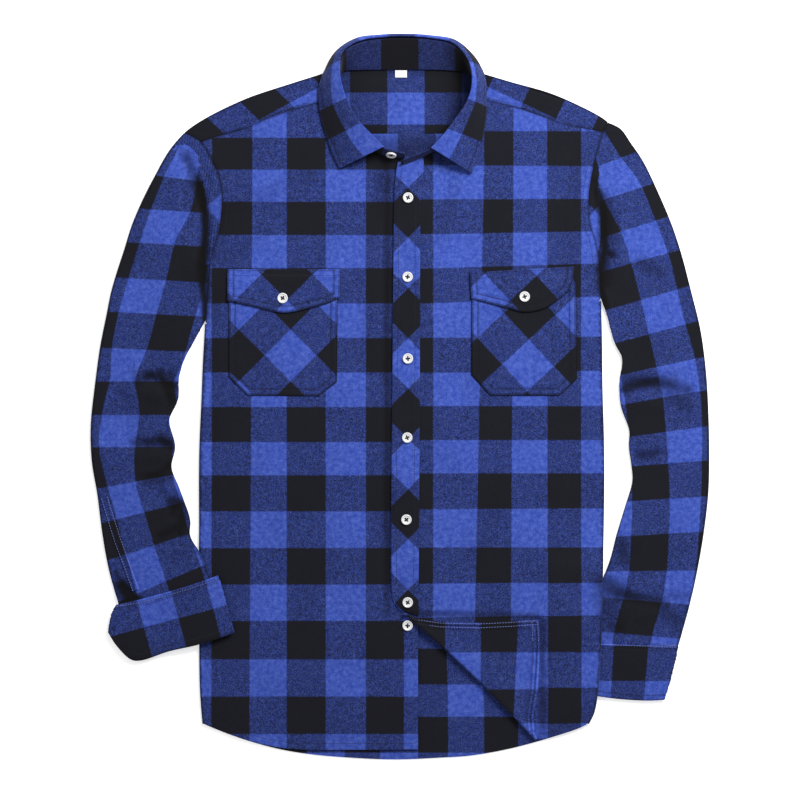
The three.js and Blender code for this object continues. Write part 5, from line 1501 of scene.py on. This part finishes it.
@dataclass
class Collar:
    """Stand, leaf and neck label."""

    flannel: bpy.types.Material
    thread: bpy.types.Material
    label: bpy.types.Material

    def stand_lines(self) -> tuple[np.ndarray, np.ndarray, np.ndarray]:
        """The stand's foot, the leaf's crest and the stand's top edge below it."""
        foot = np.array([seen_at(*row[:3]) for row in STAND])
        crest = np.array([seen_at(*row[3:]) for row in STAND])
        gap = LEAF_CREST_GAP / np.linalg.norm(crest - foot, axis=1)
        return foot, crest, crest + (foot - crest) * gap[:, None]

    def make_stand(self) -> np.ndarray:
        """Builds the stand and returns its grid."""
        foot, _, head = self.stand_lines()
        foot, head = rounded(foot, 9), rounded(head, 9)
        grid = np.array([foot + (head - foot) * t for t in np.linspace(0, 1, 14)])
        panel = Panel("collar_band", BAND)
        along = np.cumsum(np.concatenate([[0], np.linalg.norm(np.diff(head, axis=0), axis=1)]))
        behind = head[:, 1] > 350
        start = np.interp(STAND_BLACK_FROM, head[behind, 0], along[behind])
        squares = np.stack(np.meshgrid((along - start) / SQUARE, np.linspace(0.1, 0.9, 14)), axis=-1)
        # Painted shade inside the stand, deepest towards the wearer's left and a little deeper towards the wearer's
        # right
        stand_inside_shade = 0.6 - 0.3 * ramp(40, 62, grid[..., 0]) - 0.1 * ramp(-30, -60, grid[..., 0])
        panel.grids.append((grid, squares, stand_inside_shade))
        piece = stands_for(panel.build(self.flannel), "collar_stand")
        panel.area()
        return grid

    def make_leaf(self) -> None:
        """Builds the leaf that folds over the stand."""
        _, crest, _ = self.stand_lines()
        crest = crest[LEAF_FIRST : LEAF_LAST + 1]
        edge = np.array([seen_at(*row[:3]) for row in COLLAR_LEAF])
        bend = (crest + edge) / 2 + (0, 0, LEAF_CROWN)
        for k, row in enumerate(COLLAR_LEAF):
            if len(row) > 3:
                bend[k] = seen_at(*row[3:])
        steps = 10
        crest, bend, edge = (rounded(line, steps) for line in (crest, bend, edge))
        across = np.linspace(0, 1, 30)
        rows = [crest * (1 - t) ** 2 + bend * 2 * t * (1 - t) + edge * t**2 for t in across]
        grid = np.array(rows)
        outs = grid_outs(grid)
        outs *= np.sign(outs[len(across) // 2, grid.shape[1] // 8, 2])
        drop = np.linalg.norm(grid - grid[-1:], axis=2)
        grid -= outs * (0.3 * np.exp(-(((drop - 5.5) / 1.6) ** 2)))[..., None]
        panel = Panel("collar_leaf_cloth", LEAF)
        where = np.arange(grid.shape[1]) / steps
        column = np.interp(where, LEAF_BAND_ROWS, np.arange(len(LEAF_BAND_ROWS)) + 1.0)
        start = np.interp(where, *zip(*LEAF_STARTS))
        squares = np.stack([np.tile(column, (len(rows), 1)), start - drop / SQUARE], axis=-1)
        edge_light = 1 + 0.5 * np.exp(-(((drop - 0.9) / 0.8) ** 2)) - 0.4 * np.exp(-(((drop - 5.5) / 1.1) ** 2))
        panel.grids.append((grid, squares, edge_light))
        piece = stands_for(panel.build(self.flannel), "collar_leaf")
        panel.area()
        lines, directions = [], []
        for distance in (1.6, 5.5):
            picks = [int(np.argmin(np.abs(drop[:, k] - distance))) for k in range(2, grid.shape[1] - 2)]
            own = np.array([interp_column(grid[:, k], drop[:, k], distance) for k in range(2, grid.shape[1] - 2)])
            out = np.array([outs[pick, k] for pick, k in zip(picks, range(2, grid.shape[1] - 2))])
            lines.append(own + out * LEAF / 2)
            directions.append(out)
        threads("collar_stitches", lines, directions, self.thread)

    def make_label(self) -> None:
        """Builds the blank neck label, bulging a little towards its lower edge."""
        rows, cols = 10, 14
        x, y = np.meshgrid(np.linspace(-5.4, 7.6, cols), np.linspace(358.6, 350.6, rows))
        z = 1.8 + 0.25 * np.sin((x + 5.4) / 13 * math.pi) * ramp(357, 351, y)
        panel = Panel("neck_label_cloth", 0.6)
        panel.grids.append((np.stack([x, y, z], axis=-1), np.stack([x, y], axis=-1), plain(x, y)))
        piece = stands_for(panel.build(self.label), "neck_label")
        panel.area()

    def make(self) -> np.ndarray:
        """Builds every piece of the collar and returns the stand's grid."""
        grid = self.make_stand()
        self.make_leaf()
        self.make_label()
        return grid


def interp_column(points: np.ndarray, drop: np.ndarray, distance: float) -> np.ndarray:
    """The point of a column at that distance from the free edge."""
    order = np.argsort(drop)
    return np.array([np.interp(distance, drop[order], points[order, axis]) for axis in range(3)])


@dataclass
class Buttons:
    """All buttons, each with a raised rim, four holes drawn as near-black discs of painted shade, and crossed thread.
    """

    plastic: bpy.types.Material
    thread: bpy.types.Material
    # Material of the near-black discs that stand for the holes: painted shade
    hole: bpy.types.Material
    height: float = 2.3
    hole_radius: float = 1.0
    hole_spread: float = 1.75

    def disc(self) -> bmesh.types.BMesh:
        """A button at the origin, in millimetres."""
        profile = (
            (0, 0), (4.9, 0), (5.55, 0.25), (5.8, 0.8), (5.72, 1.5), (5.4, 2.1), (4.95, 2.3), (4.45, 2.12),
            (4.1, 1.7), (3.6, 1.5), (0, 1.42),
        )
        bm = bmesh.new()
        verts = [bm.verts.new((r, 0, z)) for r, z in profile]
        edges = [bm.edges.new(pair) for pair in zip(verts[:-1], verts[1:])]
        bmesh.ops.spin(bm, geom=verts + edges, cent=(0, 0, 0), axis=(0, 0, 1), angle=math.tau, steps=40, use_merge=True)
        bmesh.ops.remove_doubles(bm, verts=bm.verts, dist=0.001)
        bmesh.ops.recalc_face_normals(bm, faces=bm.faces)
        for face in bm.faces:
            face.smooth = True
        return bm

    def make_one(self, node: str, place: Matrix, turn: float) -> None:
        """Builds a button and its thread.

        Args:
            node: The solid that it stands for.
            place: Where it sits, in millimetres.
            turn: How far it is turned about its axis, in degrees.
        """
        place = Matrix.Scale(MM, 4) @ place @ Matrix.Rotation(math.radians(turn), 4, "Z")
        bm = self.disc()
        bmesh.ops.transform(bm, matrix=place, verts=bm.verts)
        stands_for(finish(node.replace("button", "disc"), bm, self.plastic), node)
        # Near-black discs where the four holes are: painted shade
        bm = bmesh.new()
        for quarter in range(4):
            angle = math.tau * (quarter + 0.5) / 4
            spot = (self.hole_spread * math.cos(angle), self.hole_spread * math.sin(angle), 1.45)
            bmesh.ops.create_cone(bm, cap_ends=True, segments=12, radius1=self.hole_radius, radius2=self.hole_radius,
                                  depth=0.08, matrix=place @ Matrix.Translation(spot))
        finish(node.replace("button", "disc") + "_hole_shade", bm, self.hole)
        bm = bmesh.new()
        for strand in range(2):
            cross = Matrix.Rotation(math.tau * (strand + 0.5) / 4, 4, "Z")
            for side in (-0.34, 0.34):
                shift = Matrix.Translation((0, side, 1.52 + 0.1 * strand))
                size = Matrix.Diagonal((self.hole_spread * 1.45, 0.5, 0.3, 1))
                bmesh.ops.create_icosphere(bm, subdivisions=2, radius=1.0, matrix=place @ cross @ shift @ size)
        for face in bm.faces:
            face.smooth = True
        finish(node.replace("button", "disc") + "_thread", bm, self.thread)

    def make(self, stand: np.ndarray) -> None:
        """Builds every button.

        Args:
            stand: The collar stand's grid.
        """
        for number, (x, y) in enumerate(PLACKET_BUTTONS, 1):
            self.on(f"placket_button_{number}", x, y, front_left_height, STEP, 17 * number)
        self.on("lower_button", *LOWER_BUTTON, front_right_height, 0, 40)
        self.on("flap_right_button", *FLAP_RIGHT_BUTTON, front_right_height, 2 * STEP, 8)
        self.on("flap_left_button", *FLAP_LEFT_BUTTON, front_left_height, 2 * STEP, 63)
        low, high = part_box("stand_button")
        centre = (low + high) / 2 / MM
        far = np.linalg.norm(stand - np.array(centre), axis=2)
        row, column = np.unravel_index(np.argmin(far), far.shape)
        out = Vector(grid_outs(stand)[row, column])
        out = -out if out.y > 0 else out
        base = centre - out * self.height / 2
        turn = Vector((0, 0, 1)).rotation_difference(out).to_matrix().to_4x4()
        self.make_one("stand_button", Matrix.Translation(base) @ turn, 20)

    def on(self, node: str, x: float, y: float, height: Height, layers: float, turn: float) -> None:
        """Sets a button on a layer of the front.

        Args:
            node: The solid that it stands for.
            x: Its place across.
            y: Its place up the shirt.
            height: Middle of the front there.
            layers: Height of what lies on the front.
            turn: How far it is turned, in degrees.
        """
        z = float(height(np.array(x), np.array(y))) + layers + CLOTH / 2 + 0.3
        self.make_one(node, Matrix.Translation((x, y, z)), turn)


def link(tree: bpy.types.NodeTree, kind: str, inputs: dict | None = None, **settings: object) -> bpy.types.Node:
    """Adds a node.

    Args:
        tree: The node tree.
        kind: The node's type.
        inputs: Values or sockets for its inputs, by name or number.
        **settings: Its own properties.

    Returns:
        The node.
    """
    node = tree.nodes.new(kind)
    for name, value in settings.items():
        setattr(node, name, value)
    for name, value in (inputs or {}).items():
        if isinstance(value, bpy.types.NodeSocket):
            tree.links.new(value, node.inputs[name])
        else:
            node.inputs[name].default_value = value
    return node


def maths(tree: bpy.types.NodeTree, operation: str, *values: object, clamp: bool = False) -> bpy.types.NodeSocket:
    """The result of a Math node on numbers or sockets."""
    node = link(tree, "ShaderNodeMath", dict(enumerate(values)), operation=operation, use_clamp=clamp)
    return node.outputs[0]


def new_group(name: str, inputs: dict[str, tuple[str, object]], outputs: dict[str, str]) -> tuple:
    """Starts a node group.

    Args:
        name: The group's name.
        inputs: Socket type and default of each input.
        outputs: Socket type of each output.

    Returns:
        The group, its input node and its output node.
    """
    tree = bpy.data.node_groups.new(name, "ShaderNodeTree")
    for socket, (kind, value) in inputs.items():
        made = tree.interface.new_socket(socket, in_out="INPUT", socket_type=kind)
        if value is not None:
            made.default_value = value
    for socket, kind in outputs.items():
        tree.interface.new_socket(socket, in_out="OUTPUT", socket_type=kind)
    return tree, tree.nodes.new("NodeGroupInput"), tree.nodes.new("NodeGroupOutput")


def twill_group() -> bpy.types.NodeTree:
    """A 2/2 twill: a mask of the threads that run down, and the height of the ribs."""
    tree, start, end = new_group(
        "Twill", {"Place": ("NodeSocketVector", None), "Threads": ("NodeSocketFloat", 100.0)},
        {"Down": "NodeSocketFloat", "Height": "NodeSocketFloat"},
    )
    place = link(tree, "ShaderNodeSeparateXYZ", {0: start.outputs["Place"]})
    across = maths(tree, "MULTIPLY", place.outputs["X"], start.outputs["Threads"])
    down = maths(tree, "MULTIPLY", place.outputs["Y"], start.outputs["Threads"])
    diagonal = maths(tree, "ADD", across, down)
    rib = maths(tree, "SINE", maths(tree, "MULTIPLY", diagonal, math.pi / 2))
    mask = maths(tree, "MULTIPLY_ADD", rib, 0.9, 0.5, clamp=True)
    yarn = maths(tree, "ABSOLUTE", maths(tree, "SINE", maths(tree, "MULTIPLY", across, math.pi)))
    height = maths(tree, "MULTIPLY_ADD", yarn, 0.35, maths(tree, "MULTIPLY_ADD", rib, 0.35, 0.35))
    tree.links.new(mask, end.inputs["Down"])
    tree.links.new(height, end.inputs["Height"])
    return tree


def nap_group() -> bpy.types.NodeTree:
    """Brushed fibres: a soft variation in value, and their height."""
    tree, start, end = new_group(
        "Nap", {"Strength": ("NodeSocketFloat", 0.15)},
        {"Value": "NodeSocketFloat", "Height": "NodeSocketFloat"},
    )
    spot = link(tree, "ShaderNodeTexCoord").outputs["Object"]
    fuzz = link(tree, "ShaderNodeTexNoise", {"Vector": spot, "Scale": 900.0, "Detail": 4.0, "Roughness": 0.7})
    tuft = link(tree, "ShaderNodeTexNoise", {"Vector": spot, "Scale": 210.0, "Detail": 3.0, "Roughness": 0.6})
    cloud = link(tree, "ShaderNodeTexNoise", {"Vector": spot, "Scale": 26.0, "Detail": 2.0})
    parts = [maths(tree, "MULTIPLY", node.outputs[0], share) for node, share in ((fuzz, 1.3), (tuft, 1.2), (cloud, 0.5))]
    total = maths(tree, "ADD", maths(tree, "ADD", parts[0], parts[1]), parts[2])
    value = maths(tree, "MULTIPLY_ADD", maths(tree, "SUBTRACT", total, 1.5), start.outputs["Strength"], 1.0)
    tree.links.new(value, end.inputs["Value"])
    tree.links.new(maths(tree, "ADD", parts[0], parts[1]), end.inputs["Height"])
    return tree


def principled(material: bpy.types.Material, **values: object) -> bpy.types.Node:
    """The material's Principled shader, with these inputs set."""
    material.use_nodes = True
    shader = material.node_tree.nodes["Principled BSDF"]
    for name, value in values.items():
        shader.inputs[name.replace("_", " ")].default_value = value
    return shader


@dataclass(frozen=True)
class FlannelFinish:
    """Brushed twill in a check of two colours, mixed where bands of both cross."""

    blue: tuple[float, float, float, float] = (0.024, 0.055, 0.345, 1)
    pale: tuple[float, float, float, float] = (0.074, 0.118, 0.40, 1)
    black: tuple[float, float, float, float] = (0.0048, 0.0050, 0.0092, 1)
    mixed_shade: float = 0.73
    heather: float = 3.0
    threads_a_square: float = 92.0

    def make(self, twill: bpy.types.NodeTree, nap: bpy.types.NodeTree) -> bpy.types.Material:
        """Builds the material.

        Args:
            twill: The twill group.
            nap: The nap group.

        Returns:
            The material.
        """
        material = bpy.data.materials.new("Checked flannel")
        shader = principled(material, Roughness=0.92, Sheen_Weight=0.1, Sheen_Roughness=0.45, Specular_IOR_Level=0.2)
        shader.inputs["Sheen Tint"].default_value = (0.8, 0.82, 1, 1)
        tree = material.node_tree
        place = link(tree, "ShaderNodeUVMap", uv_map="Check").outputs[0]
        spot = link(tree, "ShaderNodeTexCoord").outputs["Object"]
        wander = link(tree, "ShaderNodeTexNoise", {"Vector": spot, "Scale": 300.0, "Detail": 2.0})
        shift = link(tree, "ShaderNodeVectorMath", {0: wander.outputs["Color"], 1: (0.5, 0.5, 0.5)}, operation="SUBTRACT")
        small = link(tree, "ShaderNodeVectorMath", {0: shift.outputs[0], "Scale": 0.03}, operation="SCALE")
        moved = link(tree, "ShaderNodeVectorMath", {0: place, 1: small.outputs[0]}, operation="ADD").outputs[0]
        axes = link(tree, "ShaderNodeSeparateXYZ", {0: moved})
        bands = []
        for axis in ("X", "Y"):
            saw = maths(tree, "PINGPONG", maths(tree, "SUBTRACT", axes.outputs[axis], 0.5), 1.0)
            bands.append(link(tree, "ShaderNodeMapRange", {"Value": saw, "From Min": 0.485, "From Max": 0.515}).outputs[0])
        weave = link(tree, "ShaderNodeGroup", node_tree=twill)
        tree.links.new(place, weave.inputs["Place"])
        weave.inputs["Threads"].default_value = self.threads_a_square
        fibres = link(tree, "ShaderNodeGroup", node_tree=nap)
        fibres.inputs["Strength"].default_value = 0.5
        fleck = link(tree, "ShaderNodeTexNoise", {"Vector": spot, "Scale": 760.0, "Detail": 2.0, "Roughness": 0.75})
        uneven = maths(tree, "MULTIPLY_ADD", maths(tree, "SUBTRACT", fleck.outputs[0], 0.5), self.heather, 0.5)
        twist = maths(tree, "MULTIPLY", maths(tree, "SUBTRACT", weave.outputs["Down"], 0.5), 0.3)
        down = maths(tree, "ADD", twist, uneven, clamp=True)
        share = link(tree, "ShaderNodeMix", {0: down, 2: bands[1], 3: bands[0]}, data_type="FLOAT").outputs[0]
        ends = maths(tree, "MULTIPLY_ADD", maths(tree, "SUBTRACT", fibres.outputs["Height"], 1.25), 1.3, 0.3, clamp=True)
        yarn = link(tree, "ShaderNodeMix", {0: ends, 6: self.blue, 7: self.pale}, data_type="RGBA").outputs[2]
        colour = link(tree, "ShaderNodeMix", {0: share, 6: self.black, 7: yarn}, data_type="RGBA").outputs[2]
        mixed = maths(tree, "ABSOLUTE", maths(tree, "SUBTRACT", bands[0], bands[1]))
        shade = maths(tree, "MULTIPLY_ADD", mixed, self.mixed_shade - 1, 1.0)
        # Painted shade in folds, tucks, seams and beside raised edges, and painted highlights along some edges,
        # multiplied into the base colour
        kept = link(tree, "ShaderNodeAttribute", attribute_name="Shade").outputs["Fac"]
        value = maths(tree, "MULTIPLY", fibres.outputs["Value"], maths(tree, "MULTIPLY", shade, kept))
        tone = link(tree, "ShaderNodeHueSaturation", {"Value": value, "Color": colour}).outputs[0]
        tree.links.new(tone, shader.inputs["Base Color"])
        relief = maths(tree, "MULTIPLY_ADD", weave.outputs["Height"], 0.45, maths(tree, "MULTIPLY", fibres.outputs["Height"], 0.3))
        bump = link(tree, "ShaderNodeBump", {"Strength": 0.5, "Distance": 0.00025, "Height": relief})
        tree.links.new(bump.outputs[0], shader.inputs["Normal"])
        return material


@dataclass(frozen=True)
class PlainFinish:
    """One colour with fine fibres or a soft mottle."""

    name: str
    colour: tuple[float, float, float, float]
    roughness: float
    variation: float
    coat: float = 0.0

    def make(self, nap: bpy.types.NodeTree) -> bpy.types.Material:
        """Builds the material.

        Args:
            nap: The nap group.

        Returns:
            The material.
        """
        material = bpy.data.materials.new(self.name)
        shader = principled(material, Roughness=self.roughness, Coat_Weight=self.coat, Coat_Roughness=0.15)
        tree = material.node_tree
        fibres = link(tree, "ShaderNodeGroup", node_tree=nap)
        fibres.inputs["Strength"].default_value = self.variation
        tone = link(tree, "ShaderNodeHueSaturation", {"Value": fibres.outputs["Value"], "Color": self.colour})
        tree.links.new(tone.outputs[0], shader.inputs["Base Color"])
        bump = link(tree, "ShaderNodeBump", {"Strength": 0.3, "Distance": 0.0001, "Height": fibres.outputs["Height"]})
        tree.links.new(bump.outputs[0], shader.inputs["Normal"])
        return material


@dataclass
class Studio:
    """The pale floor, the soft lights and the camera straight above."""

    distance: float = 2.444
    lens: float = 100.0
    centre_y: float = -0.00385

    def make_floor(self) -> None:
        """Lays the floor under the shirt."""
        bm = bmesh.new()
        bmesh.ops.create_grid(bm, x_segments=2, y_segments=2, size=3.0)
        mesh = bpy.data.meshes.new("floor")
        bm.to_mesh(mesh)
        bm.free()
        material = bpy.data.materials.new("Pale floor")
        principled(material, Roughness=0.9, Base_Color=(0.93, 0.93, 0.94, 1), Emission_Color=(1, 1, 1, 1),
                   Emission_Strength=0.5)
        mesh.materials.append(material)
        floor = bpy.data.objects.new("floor", mesh)
        floor.location.z = -0.0006
        bpy.context.scene.collection.objects.link(floor)

    def make_light(self, name: str, place: tuple[float, float, float], size: float, power: float) -> None:
        """Hangs a soft light that looks at the shirt.

        Args:
            name: The light's name.
            place: Where it hangs.
            size: Its width.
            power: Its power in watts.
        """
        lamp = bpy.data.lights.new(name, "AREA")
        lamp.shape, lamp.size, lamp.energy = "SQUARE", size, power
        holder = bpy.data.objects.new(name, lamp)
        holder.location = place
        holder.rotation_euler = (-Vector(place)).to_track_quat("-Z", "Y").to_euler()
        bpy.context.scene.collection.objects.link(holder)

    def make(self) -> None:
        """Builds the studio."""
        scene = bpy.context.scene
        self.make_floor()
        self.make_light("key", (0.75, 1.05, 1.35), 0.7, 42)
        self.make_light("fill", (-1.5, 0.4, 2.4), 2.0, 8)
        world = bpy.data.worlds.new("soft room")
        world.use_nodes = True
        world.node_tree.nodes["Background"].inputs[0].default_value = (1, 1, 1, 1)
        world.node_tree.nodes["Background"].inputs[1].default_value = 0.42
        scene.world = world
        scene.view_settings.view_transform = "Standard"
        camera = bpy.data.objects.new("camera", bpy.data.cameras.new("camera"))
        camera.data.lens = self.lens
        camera.data.clip_end = 20
        camera.location = (0, self.centre_y, self.distance)
        scene.collection.objects.link(camera)
        scene.camera = camera


def main() -> None:
    """Builds the shirt and the studio."""
    logging.basicConfig(level=logging.INFO, format="%(message)s")
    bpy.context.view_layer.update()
    Studio().make()
    twill, nap = twill_group(), nap_group()
    flannel = FlannelFinish().make(twill, nap)
    sewing = PlainFinish("Navy thread", (0.004, 0.005, 0.016, 1), 0.85, 0.1).make(nap)
    plastic = PlainFinish("White button", (0.68, 0.68, 0.68, 1), 0.3, 0.03, 0.3).make(nap)
    # Near-black discs in place of the buttons' holes: painted shade
    dark = PlainFinish("Button hole shade", (0.004, 0.004, 0.008, 1), 0.85, 0.05).make(nap)
    woven = PlainFinish("White label", (0.80, 0.80, 0.78, 1), 0.8, 0.06).make(nap)
    pale_sewing = PlainFinish("Pale blue thread", (0.16, 0.2, 0.5, 1), 0.8, 0.1).make(nap)
    Body(flannel, sewing, pale_sewing).make()
    Sleeves(flannel, sewing, pale_sewing).make()
    Pockets(flannel, sewing).make()
    stand = Collar(flannel, sewing, woven).make()
    Buttons(plastic, sewing, dark).make(stand)


if __name__ == "__main__":
    main()
